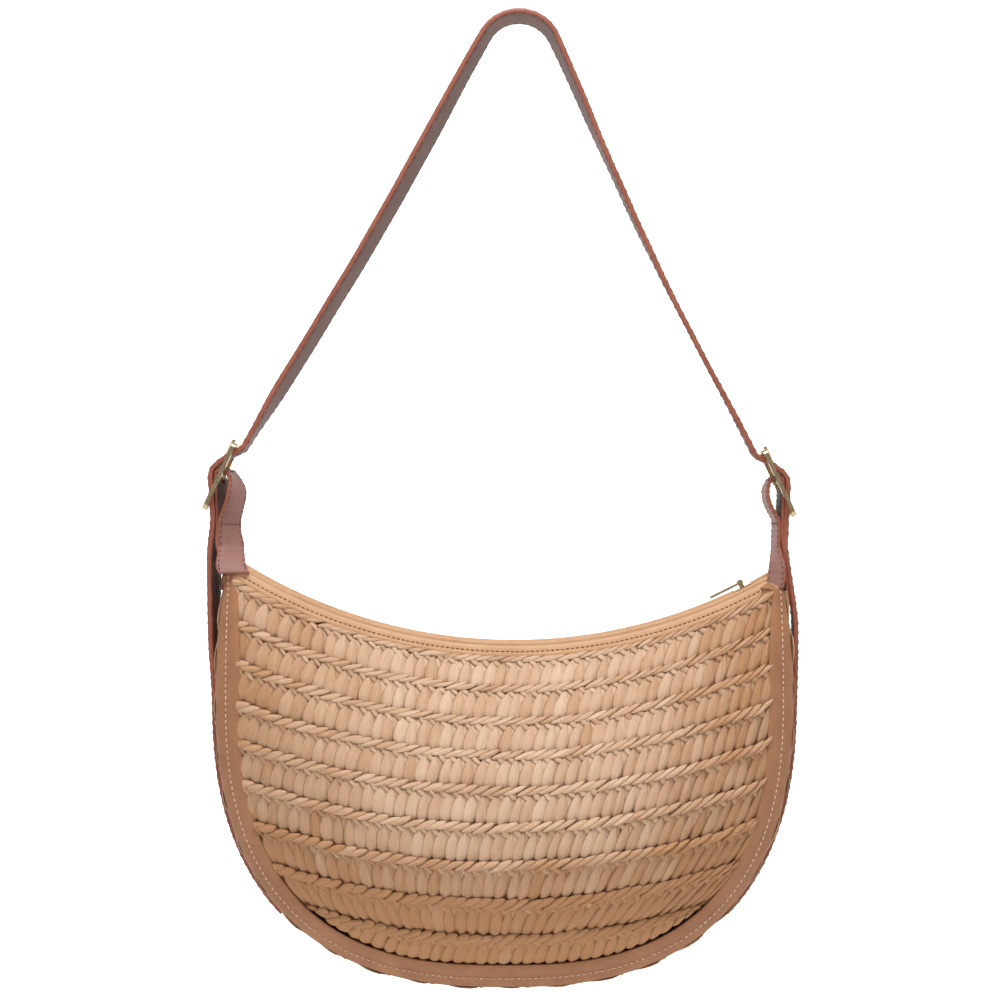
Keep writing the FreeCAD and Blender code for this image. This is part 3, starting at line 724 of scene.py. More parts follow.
@dataclass
class Braid:
    """Lays rows of strands on a surface.

    Attributes:
        surface: Returns a place for a row, pitches along it and a lift.
        pitch: Millimetres from one strand to the next.
        height: Millimetres from one row to the next.
        chance: The source of the braid's irregularity.
        grain: How many faces a strand has, along and across.
        shade: Returns how much darker the straw is at a row and a pitch.
        under: How deep the sheet under the strands lies, and how open it is; a low openness paints it dark,
            as painted shade in the gaps between strands.
    """

    surface: Callable[[float, float, float], Vector]
    pitch: float
    height: float
    chance: random.Random
    grain: tuple[int, int] = (9, 6)
    shade: Callable[[float, float], float] = lambda row, pitches: 0.0
    under: tuple[float, float] = (-0.7, 0.05)

    def _strand(self, sketch: Sketch, strand: Strand, row: float, number: float, lean: float) -> None:
        """Add one strand that is a little different from its neighbours."""
        chance = self.chance
        shift = chance.gauss(0.0, 0.08)
        width = strand.width * chance.uniform(0.88, 1.12)
        swell = strand.swell * chance.uniform(0.8, 1.2)
        start_along = number + strand.start[0] + shift + lean
        end_along = number + strand.end[0] + chance.gauss(0.0, 0.06) - lean
        start_row = row + strand.start[1] + chance.gauss(0.0, 0.018)
        end_row = row + strand.end[1] + chance.gauss(0.0, 0.018)
        roll = strand.roll * chance.uniform(0.7, 1.3)
        reach_along = (end_along - start_along) * self.pitch
        reach_down = (end_row - start_row) * self.height
        length = math.hypot(reach_along, reach_down)
        side_along, side_down = -reach_down / length, reach_along / length
        steps, cuts = self.grain
        rows = []
        for index in range(steps + 1):
            part = index / steps
            fullness = math.sin(math.pi * part ** (math.log(0.5) / math.log(strand.blunt))) ** 0.62
            curl = 0.10 * math.sin(math.pi * part) * width
            line = []
            for cut in range(cuts + 1):
                across = cut / cuts * 2.0 - 1.0
                reach = across * width / 2 * self.pitch * max(fullness, 0.04)
                along = mix(start_along, end_along, part) + (side_along * reach) / self.pitch + curl
                down = mix(start_row, end_row, part) + (side_down * reach) / self.height
                arch = (1.0 - abs(across) ** 2.4) * (0.35 + 0.65 * fullness)
                lift = strand.lift - 0.9 + swell * arch + roll * across * fullness - 0.5 * part
                line.append(self.surface(down, along, lift))
            rows.append(line)
        offset = chance.random()
        size = (length * MM, width * self.pitch * MM)

        def spread(along: float, across: float) -> Place:
            return (offset + along * size[0], offset * 7.0 + across * size[1])

        # Painted shade: the strand's edges and tips are marked hollow, which the straw paints dark.
        def hollow(along: float, across: float) -> float:
            edge = 1.0 - abs(across * 2.0 - 1.0) ** 6.0
            tips = math.sin(math.pi * min(max(along, 0.0), 1.0)) ** 0.4
            return 0.3 + 0.7 * edge * min(tips * 1.4, 1.0)

        tone = chance.gauss(0.5, 0.14) - self.shade(row, number)
        sketch.grid(rows, spread, tone=tone, hollow=hollow)

    def row(self, sketch: Sketch, row: float, count: float, lean: Callable[[float], float]) -> None:
        """Lay one row of braid.

        Args:
            sketch: The sketch that gets the strands.
            row: The row's upper edge.
            count: How many pitches the row has on each side of its middle.
            lean: Returns how far the strands lean at a place along the row.
        """
        depth, openness = self.under
        # The sheet under the strands is dark straw: painted shade that shows through the gaps.
        backing = []
        for index in range(7):
            down = row + mix(-0.02, 1.02, index / 6)
            backing.append([self.surface(down, mix(-count, count, part / 48), depth) for part in range(49)])
        sketch.grid(backing, tone=0.2, hollow=lambda along, across: openness)
        phase = self.chance.random()
        for tier in Lay:
            number = -count + phase * 0.3 + 0.2
            while number < count - 0.2:
                tilt = lean(number / count) if tier is Lay.PAD else 0.0
                self._strand(sketch, STRANDS[tier], row, number, tilt)
                number += 1.0


@dataclass
class BraidPanel:
    """The front or back of the bag: nine rows of braid, one piece each.

    Attributes:
        edge_dip: How far the rows sink at their ends, under the leather.
        reach: How far the rows run on under the leather, as a part of half their length.
        last_stretch: How much longer the lowest row is, to reach under the band.
        slopes: How much a row's lower edge sinks, for the upper rows and the last.
        painted_shade: How much painted shade darkens the straw low down, on the left and on the right.
    """

    shape: BagShape
    finishes: Finishes
    side: int
    pitch: float = 8.0
    row_height: float = 26.0
    edge_dip: float = 1.6
    reach: float = 1.032
    last_stretch: float = 1.14
    slopes: tuple = (1.7, 0.9)
    painted_shade: tuple = (0.95, 0.45, 0.55)

    def build(self) -> None:
        """Make every row of the panel."""
        for number in range(self.shape.rows):
            self._row(number)

    def _row(self, number: int) -> None:
        """Make one row, with its own chance."""
        chance = random.Random(100 * (self.side + 2) + number)
        middle = min(number + 0.5, self.shape.rows - 1.0)
        count = length_of([self.shape.panel(self.side, middle, part / 10) for part in range(11)]) / self.pitch
        wander = chance.uniform(0.0, 50.0)

        def lean(along: float) -> float:
            sway = 0.14 * noise.noise(Vector((along * 2.3, wander, 9.0)))
            return 0.06 + sway + 0.22 * smooth_step(0.35, 0.95, -along)

        # Painted shade: the straw is darker low down and towards the sides, where less light falls.
        def shade(row: float, pitches: float) -> float:
            low, left, right = self.painted_shade
            aside = pitches / count
            beside = (right if aside > 0.0 else left) * smooth_step(0.35, 1.0, abs(aside))
            return low * smooth_step(4.6, 7.6, row) + beside

        name = f"{PANEL_NAMES[self.side]}_braid_row_{number + 1}"
        sketch = Sketch(f"straw_{name}")
        surface = partial(self._surface, number, count, wander)
        braid = Braid(surface, self.pitch, self.row_height, chance, shade=shade)
        braid.row(sketch, float(number), count * self.reach, lean)
        sketch.finish_on_bag(name, "straw", self.finishes.straw, weld=False)

    def _surface(
        self, number: int, count: float, wander: float, row: float, pitches: float, lift: float
    ) -> Vector:
        """Return a place on one row, whose lower edge lies under the next row."""
        last = number == self.shape.rows - 1
        along = min(max(pitches / count, -self.reach), self.reach)
        wave = 0.035 * noise.noise(Vector((along * 3.0, wander, 0.0)))
        wave += 0.02 * noise.noise(Vector((along * 11.0, wander, 4.0)))
        if last:
            row = number + (row - number) * self.last_stretch
        level = min(max(row + wave, 0.0), self.shape.rows + 0.3)
        dip = self.edge_dip * smooth_step(1.0, self.reach, abs(along))
        if level > self.shape.rows - 1:
            dip += self.edge_dip * smooth_step(9.0, 9.25, level)
        shingle = 1.2 - self.slopes[last] * (row - number)
        return self.shape.panel_lifted(self.side, level, along, lift + shingle - dip)


@dataclass
class BraidGusset:
    """The straw strip that runs round the bag, shingled row over row.

    Attributes:
        step: How far each row's end stands over the start of the next.
        sag: How far the strip sinks between its two seams.
        inset: How far the whole strip lies inside the outline.
    """

    shape: BagShape
    finishes: Finishes
    rows: int = 25
    pitch: float = 7.4
    step: float = 2.4
    sag: float = 1.8
    inset: float = 0.2

    def build(self) -> None:
        """Make the strip as one piece."""
        chance = random.Random(41)
        rim = self.shape.rim(self.shape.outline)
        line = spaced([Vector((across, 0.0, height)) for across, height in rim], 2.0)
        height = length_of(line) / self.rows
        half = self.shape.gusset_depth / self.pitch
        sketch = Sketch("straw_gusset")
        for number in range(self.rows):
            surface = partial(self._surface, line, number)
            braid = Braid(surface, self.pitch, height, chance, (7, 5), lambda row, pitches: 0.25, (-2.2, 0.7))
            braid.row(sketch, float(number), half, lambda along: 0.05)
        sketch.finish_on_bag("gusset", "straw", self.finishes.straw, weld=False)

    def _surface(self, line: list[Vector], number: int, row: float, pitches: float, lift: float) -> Vector:
        """Return a place on one row of the strip."""
        lift = lift * 0.8 + self.step * (min(max(row - number, 0.0), 1.0) - 0.35)
        where = min(max(row / self.rows, 0.0), 1.0) * (len(line) - 1)
        index = min(int(where), len(line) - 2)
        place = line[index].lerp(line[index + 1], where - index)
        before, after = line[max(index - 2, 0)], line[min(index + 3, len(line) - 1)]
        travel = (after - before).normalized()
        outwards = Vector((travel.z, 0.0, -travel.x))
        depth = self.shape.depth_at(place.z, self.shape.gusset_depth, self.shape.corner_depth) - 0.4
        across = min(max(pitches * self.pitch, -depth), depth)
        hollow = self.sag * (1.0 - (across / depth) ** 2)
        return place + Vector((0.0, across, 0.0)) + outwards * (lift - hollow - self.inset)


# Leather edges of the panels and of the mouth
@dataclass
class SeamBands:
    """Two tan strips that cover the seams between the panels and the gusset.

    Attributes:
        crown: How far a strip's middle stands out.
        stitched: Where across the strip its stitches are.
        outer_tuck: Steps inwards and up that lead the outer edge under the tabs.
        inner_tuck: The same for the inner edge.
        profile: The parts of the width at which the section has a place.
    """

    shape: BagShape
    finishes: Finishes
    thickness: float = 2.5
    crown: float = 1.3
    stitched: float = 0.46
    stitch_pitch: float = 4.1
    outer_tuck: tuple = ((8.5, 6.6), (5.4, 5.6), (2.2, 3.2))
    inner_tuck: tuple = ((9.0, 1.8), (5.6, 1.7), (2.4, 1.4))
    profile: tuple = (-0.05, 0.03, 0.12, 0.25, 0.45, 0.65, 0.82, 0.92, 0.98, 1.03)

    def build(self) -> None:
        """Make the front and the back strip."""
        outer = self._tucked(self.shape.rim(self.shape.outline), self.outer_tuck)
        inner = self._tucked(self.shape.rim(self.shape.crease), self.inner_tuck)
        for side, name in PANEL_NAMES.items():
            place = partial(self._place, side, outer, inner)
            sketch = Sketch(f"tan_seam_band_{name}")
            sketch.tube([self._ring(partial(place, index)) for index in range(len(outer))])
            seats = [place(index, self.stitched, self.crown + 0.05) for index in range(len(outer))]
            line = spaced([seat for seat, _ in seats], self.stitch_pitch)
            sketch.seam(line, partial(self._outwards, seats), 2.7, 1.0)
            # The bands use the darker copy of the tan leather, which paints shade on them.
            finishes = self.finishes.shaded_band, self.finishes.pale_thread
            sketch.finish_on_bag(f"seam_band_{name}", "tan_leather", *finishes)

    @staticmethod
    def _outwards(seats: list[tuple], place: Vector) -> Vector:
        """Return the way out at the seat that is nearest to a place."""
        return min(seats, key=lambda seat: (seat[0] - place).length_squared)[1]

    @staticmethod
    def _tucked(rim: list[Place], tuck: tuple) -> list[Place]:
        """Lead both ends of a rim inwards, under the tabs."""
        left = [(rim[0][0] + inwards, rim[0][1] + up) for inwards, up in tuck]
        right = [(rim[-1][0] - inwards, rim[-1][1] + up) for inwards, up in reversed(tuck)]
        return [*left, *rim, *right]

    def _place(self, side: int, outer: list, inner: list, index: int, part: float, lift: float) -> tuple:
        """Return a place part of the way across the strip, and the way out from it."""
        low, high = outer[index], inner[index]
        depth = self.shape.depth_at(low[1], self.shape.gusset_depth, self.shape.corner_depth) + 0.4
        edge = self.shape.depth_at(high[1], self.shape.crease_out, self.shape.facing_low)
        start = Vector((low[0], side * depth, low[1]))
        end = Vector((high[0], side * edge, high[1]))
        before, after = outer[max(index - 1, 0)], outer[min(index + 1, len(outer) - 1)]
        travel = Vector((after[0] - before[0], 0.0, after[1] - before[1]))
        outwards = (end - start).cross(travel).normalized()
        if outwards.y * side < 0.0:
            outwards.negate()
        return start.lerp(end, part) + outwards * lift, outwards

    def _ring(self, place: Callable[[float, float], tuple]) -> list[Vector]:
        """Return one section of the strip, crowned and with a groove for the stitches."""
        ring = []
        for part in self.profile:
            fullness = (1.0 - abs(part * 2.0 - 1.0) ** 4) if 0.0 < part < 1.0 else -0.3
            groove = 0.35 * math.exp(-(((part - self.stitched) / 0.05) ** 2))
            ring.append(place(part, self.crown * fullness - groove)[0])
        return ring + [place(part, -self.thickness * 0.6)[0] for part in (0.98, 0.5, 0.02)]


@dataclass
class Mouth:
    """The tan facings at the opening and the zip between them.

    Attributes:
        angles: Where the opening starts and ends, in degrees from straight down.
        tape: Radius, near depth, far depth and thickness of a tape.
        teeth: Radius, near depth, far depth and height of a row of teeth.
        profile: Places round a facing's section, down from its edge and out.
    """

    shape: BagShape
    finishes: Finishes
    angles: tuple = (-31.7, 29.7)
    steps: int = 150
    stitch_pitch: float = 3.4
    tooth_pitch: float = 2.6
    tape: tuple = (356.2, 3.6, 11.3, 0.9)
    teeth: tuple = (355.4, 0.5, 3.3, 2.4)
    profile: tuple = (
        (10.3, -0.6), (10.2, 0.5), (9.7, 0.9), (8.2, 1.2), (6.4, 0.85), (5.0, 1.3), (3.2, 1.15), (2.5, 0.65),
        (1.9, 1.3), (0.9, 1.55), (0.0, 1.1), (-0.4, 0.1), (-0.2, -1.2), (0.6, -1.7), (5.0, -1.3), (9.8, -1.1),
    )

    def build(self) -> None:
        """Make the facings, the tapes and the teeth."""
        for side, name in PANEL_NAMES.items():
            self._facing(side, name)
            self._tape(side, name)
            self._teeth(side, name)

    def _angles(self, trim: float = 0.0) -> list[float]:
        """Return angles from one end of the opening to the other."""
        low, high = self.angles[0] + trim, self.angles[1] - trim
        return [mix(low, high, index / self.steps) for index in range(self.steps + 1)]

    def _facing_place(self, side: int, angle: float, down: float, lift: float) -> Vector:
        """Return a place on or over a facing, which waves a little."""
        shape = self.shape
        part = down / shape.facing_width
        depth = mix(shape.facing_top, shape.facing_low, part)
        wave = 0.5 * noise.noise(Vector((angle * 0.22, side * 5.0, 0.0)))
        slope = (shape.facing_low - shape.facing_top) / shape.facing_width
        radius = shape.mouth_radius + down - lift * slope
        return shape.mouth_place(radius, angle, side * (depth + lift + wave * part))

    def _facing(self, side: int, name: str) -> None:
        """Make one stitched facing."""
        place = partial(self._facing_place, side)
        sketch = Sketch(f"tan_facing_{name}")
        sketch.tube([[place(angle, down, lift) for down, lift in self.profile] for angle in self._angles()])
        line = spaced([place(angle, 6.4, 0.95) for angle in self._angles(0.6)], self.stitch_pitch)
        sketch.seam(line, lambda seat: Vector((0.0, side, 0.0)), 2.5, 0.95)
        finishes = self.finishes.tan, self.finishes.brown_thread
        sketch.finish_on_bag(f"mouth_facing_{name}", "tan_leather", *finishes)

    def _tape(self, side: int, name: str) -> None:
        """Make one of the zip's tapes."""
        radius, near, far, thickness = self.tape
        rows = []
        for angle in self._angles(0.15):
            ring = []
            for depth in (near, mix(near, far, 0.33), mix(near, far, 0.66), far):
                wave = 0.18 * noise.noise(Vector((angle * 1.3, depth * 0.3, side * 2.0)))
                ring.append(self.shape.mouth_place(radius - thickness / 2 + wave, angle, side * depth))
            for depth in (far, near):
                ring.append(self.shape.mouth_place(radius + thickness / 2, angle, side * depth))
            rows.append(ring)
        sketch = Sketch(f"woven_tape_{name}")
        sketch.tube(rows)
        sketch.finish_on_bag(f"zip_tape_{name}", "zip_cloth", self.finishes.zip_cloth)

    def _teeth(self, side: int, name: str) -> None:
        """Make one row of teeth, half a pitch from the other row."""
        radius = self.teeth[0]
        sketch = Sketch(f"brass_teeth_{name}")
        pitch = math.degrees(self.tooth_pitch / radius)
        angle = self.angles[0] + 0.7 + (pitch / 2 if side > 0 else 0.0)
        while angle < self.angles[1] - 0.7:
            self._tooth(sketch, side, angle)
            angle += pitch
        sketch.finish_on_bag(f"zip_teeth_{name}", "brass", self.finishes.brass)

    def _tooth(self, sketch: Sketch, side: int, angle: float) -> None:
        """Add one block that widens from its root and is rounded at its tip."""
        radius, near, far, height = self.teeth
        rows = []
        for part, width in ((0.0, 0.5), (0.12, 0.9), (0.8, 1.0), (0.97, 0.8), (1.0, 0.6)):
            ring = []
            for turn in range(8):
                around = math.tau * (turn + 0.5) / 8
                reach = 1.08 * height / 2 * math.cos(around) * width
                swing = math.degrees(0.85 * math.sin(around) * width / radius)
                depth = side * mix(near, far, part)
                ring.append(self.shape.mouth_place(radius + reach, angle + swing, depth))
            rows.append(ring)
        sketch.grid(rows, closed=True)
        sketch.cap(rows[0])


# Leather ribbons: the strap and its tabs
@dataclass
class Ribbon:
    """A flat leather strip along a line, with painted edges and stitches.

    Attributes:
        line: Evenly spaced places of its middle, in millimetres.
        sides: The direction across the strip at every place.
        widths: How wide it is at every place.
        thickness: How thick it is.
        slot: Tells whether the strip is cut open in its middle at a place.
    """

    line: Sequence[Vector]
    sides: Sequence[Vector]
    widths: Sequence[float]
    thickness: float
    slot: Callable[[Vector], bool] = lambda place: False
    slot_width: float = 4.6
    round_edge: float = 0.8

    def __post_init__(self) -> None:
        travels = []
        for index in range(len(self.line)):
            ends = self.line[max(index - 1, 0)], self.line[min(index + 1, len(self.line) - 1)]
            travels.append((ends[1] - ends[0]).normalized())
        self.travels = travels
        self.outwards = [side.cross(travel).normalized() for side, travel in zip(self.sides, travels)]

    def place(self, index: int, across: float, out: float) -> Vector:
        """Return a place beside and outside the line."""
        return self.line[index] + self.sides[index] * across + self.outwards[index] * out

    def _ring(self, index: int, low: float, high: float) -> list[Vector]:
        """Return one section of the strip, with soft edges."""
        half, soft = self.thickness / 2, self.round_edge
        face = [mix(low + soft, high - soft, part / 4) for part in range(5)]
        puff = [0.0, 0.1, 0.15, 0.1, 0.0]
        ring = [(across, half + more) for across, more in zip(face, puff)]
        ring += [(high - soft * 0.3, half - soft * 0.3), (high, half - soft), (high + 0.1, 0.0)]
        ring += [(high, soft - half), (high - soft * 0.3, soft * 0.3 - half)]
        ring += [(across, -half - more) for across, more in zip(reversed(face), puff)]
        ring += [(low + soft * 0.3, soft * 0.3 - half), (low, soft - half), (low - 0.1, 0.0)]
        ring += [(low, half - soft), (low + soft * 0.3, half - soft * 0.3)]
        return [self.place(index, across, out) for across, out in ring]

    def lay(self, sketch: Sketch) -> None:
        """Add the strip to a sketch: face 0, edges 1, inner face 2."""
        faces = [0] * 4 + [1] * 6 + [2] * 4 + [1] * 6
        start = 0
        while start < len(self.line) - 1:
            cut = self.slot(self.line[start])
            end = start + 1
            while end < len(self.line) - 1 and self.slot(self.line[end]) == cut:
                end += 1
            inside = self.slot_width / 2
            for side in (-1, 1) if cut else (0,):
                rows = []
                for index in range(start, end + 1):
                    half = self.widths[index] / 2
                    low, high = {0: (-half, half), -1: (-half, -inside), 1: (inside, half)}[side]
                    rows.append(self._ring(index, low, high))
                sketch.tube(rows, faces, 1)
            start = end

    def sew(self, sketch: Sketch, inset: float, pitch: float, length: float) -> None:
        """Sew both edges on both faces with material 3."""
        step = (self.line[1] - self.line[0]).length
        for side in (-1, 1):
            for way in (1.0, -1.0):
                where = pitch
                while where < step * (len(self.line) - 2):
                    index = int(where / step)
                    across = side * (self.widths[index] / 2 - inset)
                    seat = self.place(index, across, way * (self.thickness / 2 - 0.12))
                    sketch.stitch(seat, self.travels[index], self.outwards[index] * way, length, 0.9, 3)
                    where += pitch


@dataclass
class Buckle:
    """Where one side's buckle stands, and places given from its bar."""

    side: int
    tilt: float = math.radians(25.0)

    def __post_init__(self) -> None:
        low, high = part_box(f"buckle_bar_{SIDE_NAMES[self.side]}")
        self.bar = (Vector(low) + Vector(high)) / 2 / MM

    def place(self, along: float, out: float) -> Vector:
        """Return a place that lies along the strap and outside the bar."""
        lean, rise = math.sin(self.tilt), math.cos(self.tilt)
        across = -self.side * along * lean + self.side * out * rise
        return self.bar + Vector((across, -self.bar.y, along * rise + out * lean))

    def local(self, place: Vector) -> Place:
        """Return a place as a distance along the strap and outside the bar."""
        offset = place - self.bar
        lean, rise = math.sin(self.tilt), math.cos(self.tilt)
        along = -self.side * offset.x * lean + offset.z * rise
        return along, self.side * offset.x * rise + offset.z * lean


BOWS = {-1: 3.2, 1: -4.2}
TWISTS = {
    -1: (
        (-440.0, 0.0), (-400.0, 10.0), (-345.0, 14.0), (-318.0, 0.0), (-268.0, 2.0), (-225.0, 17.0),
        (-60.0, 20.0), (0.0, 16.0), (26.0, 13.0),
    ),
    1: (
        (-430.0, 0.0), (-345.0, -4.0), (-318.0, 0.0), (-268.0, -2.0), (-200.0, -6.0), (-85.0, 2.0),
        (-20.0, 9.0), (26.0, 13.0),
    ),
}


@dataclass
class Strap:
    """The shoulder strap with the ends that hang down beside the bag.

    Attributes:
        support: The radius of the strap's middle over the support.
        weave: Places through the buckle, along the strap and outside the bar.
        slot: Where the strap is open for the tongue, along it from the bar.
    """

    shape: BagShape
    finishes: Finishes
    width: float = 21.0
    thickness: float = 3.4
    support: float = 26.7
    weave: tuple = ((-26.0, -6.1), (-13.0, 0.9), (0.0, 6.7), (12.0, 1.9), (23.0, -6.1))
    slot: tuple = (-7.0, 19.0)
    tail_top: float = -338.3
    tail_end: float = -588.0
    tail_offset: float = 2.4
    foot: tuple = (-331.0, -323.0)
    leg_steps: int = 60

    def build(self) -> None:
        """Make the strap as one piece."""
        self.buckles = {side: Buckle(side) for side in (-1, 1)}
        left, right = self._side(-1), self._side(1)
        line = spaced(left + right[::-1], 2.2)
        sides = []
        for index, place in enumerate(line):
            travel = (line[min(index + 1, len(line) - 1)] - line[max(index - 1, 0)]).normalized()
            out = Vector((-travel.z, 0.0, travel.x))
            turn = math.radians(between(TWISTS[-1 if place.x < 0.0 else 1], place.z))
            sides.append(out * math.sin(turn) - Vector((0.0, math.cos(turn), 0.0)))
        ribbon = Ribbon(line, sides, [self.width] * len(line), self.thickness, self._slotted)
        sketch = Sketch("leather_strap")
        ribbon.lay(sketch)
        ribbon.sew(sketch, 1.5, 6.2, 3.4)
        piece = sketch.finish(*self.finishes.belt)
        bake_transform(piece)
        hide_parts("strap", "strap_tail_left", "strap_tail_right")

    def _slotted(self, place: Vector) -> bool:
        """Tell whether a place of the strap is open for the tongue."""
        along, out = self.buckles[-1 if place.x < 0 else 1].local(place)
        return self.slot[0] < along < self.slot[1] and abs(out) < 12.0

    def _around(self, turn: float) -> Vector:
        """Return a place on the support, at an angle from the bag's right."""
        return Vector((math.cos(turn), 0.0, math.sin(turn))) * self.support

    def _side(self, side: int) -> list[Vector]:
        """Return places from the tail's end up to the middle of the support."""
        weave = [self.buckles[side].place(along, out) for along, out in self.weave]
        foot = [Vector((weave[0].x, 0.0, height)) for height in self.foot]
        lower = catmull_rom([*self._tail(side, weave[0].x), *foot, *weave], 0.8)
        top = weave[-1]
        angle = math.atan2(top.z, top.x) + side * math.acos(self.support / math.hypot(top.x, top.z))
        angle += math.tau if side < 0 else 0.0
        arc = [self._around(mix(angle, math.pi / 2, index / 12)) for index in range(13)]
        return lower + self._leg(side, top, self._around(angle)) + arc

    def _leg(self, side: int, top: Vector, touch: Vector) -> list[Vector]:
        """Return the slightly bowed way from the buckle to the support."""
        away = Vector((touch.z - top.z, 0.0, top.x - touch.x)).normalized()
        leg = []
        for index in range(1, self.leg_steps):
            part = index / self.leg_steps
            bow = math.sin(math.pi * part) ** 1.5 * BOWS[side]
            ripple = 0.5 * noise.noise(Vector((part * 7.0, side * 3.0, 0.0))) * math.sin(math.pi * part)
            leg.append(top.lerp(touch, part) + away * (ripple + bow))
        return leg

    def _tail(self, side: int, start: float) -> list[Vector]:
        """Return the loose end's way, from its tip up beside the bag."""
        shape = self.shape
        rim = shape.rim(shape.outline, 10.0)[::-side]
        corner = shape.corner_height(side)
        places = [Vector((start, 0.0, self.tail_top))]
        for height, reach in ((corner - 10.0, 5.4), (corner - 30.0, 4.9)):
            across = shape.centre + side * (shape.half_width(shape.outline, height) + reach)
            places.append(Vector((side * max(side * across, side * start), 0.0, height)))
        for (across, height), (next_across, next_height) in zip(rim, rim[1:]):
            if side * (across - shape.centre) <= 0.0:
                break
            if self.tail_end < height < shape.belly_height - 4.0:
                travel = Vector((next_across - across, 0.0, next_height - height)).normalized()
                out = Vector((side * abs(travel.z), 0.0, -abs(travel.x)))
                places.append(Vector((across, 0.0, height)) + out * self.tail_offset)
        return places[::-1]


FLARES = {-1: 0.0, 1: -8.0}
FLAP_ENDS = {-1: (11.0, 1.6), 1: (10.0, 2.0)}
OUTER_YAWS = {
    -1: ((-352.0, 0.0), (-322.0, 33.0), (-303.0, 30.0), (-286.0, 10.0)),
    1: ((-362.0, 0.0), (-335.0, -8.0), (-300.0, -4.0), (-290.0, 0.0)),
}
INNER_YAWS = {
    -1: ((-354.0, 74.0), (-338.0, 52.0), (-325.0, 42.0), (-303.0, 33.0), (-286.0, 10.0)),
    1: ((-362.0, -72.0), (-335.0, -8.0), (-300.0, -4.0), (-290.0, 0.0)),
}


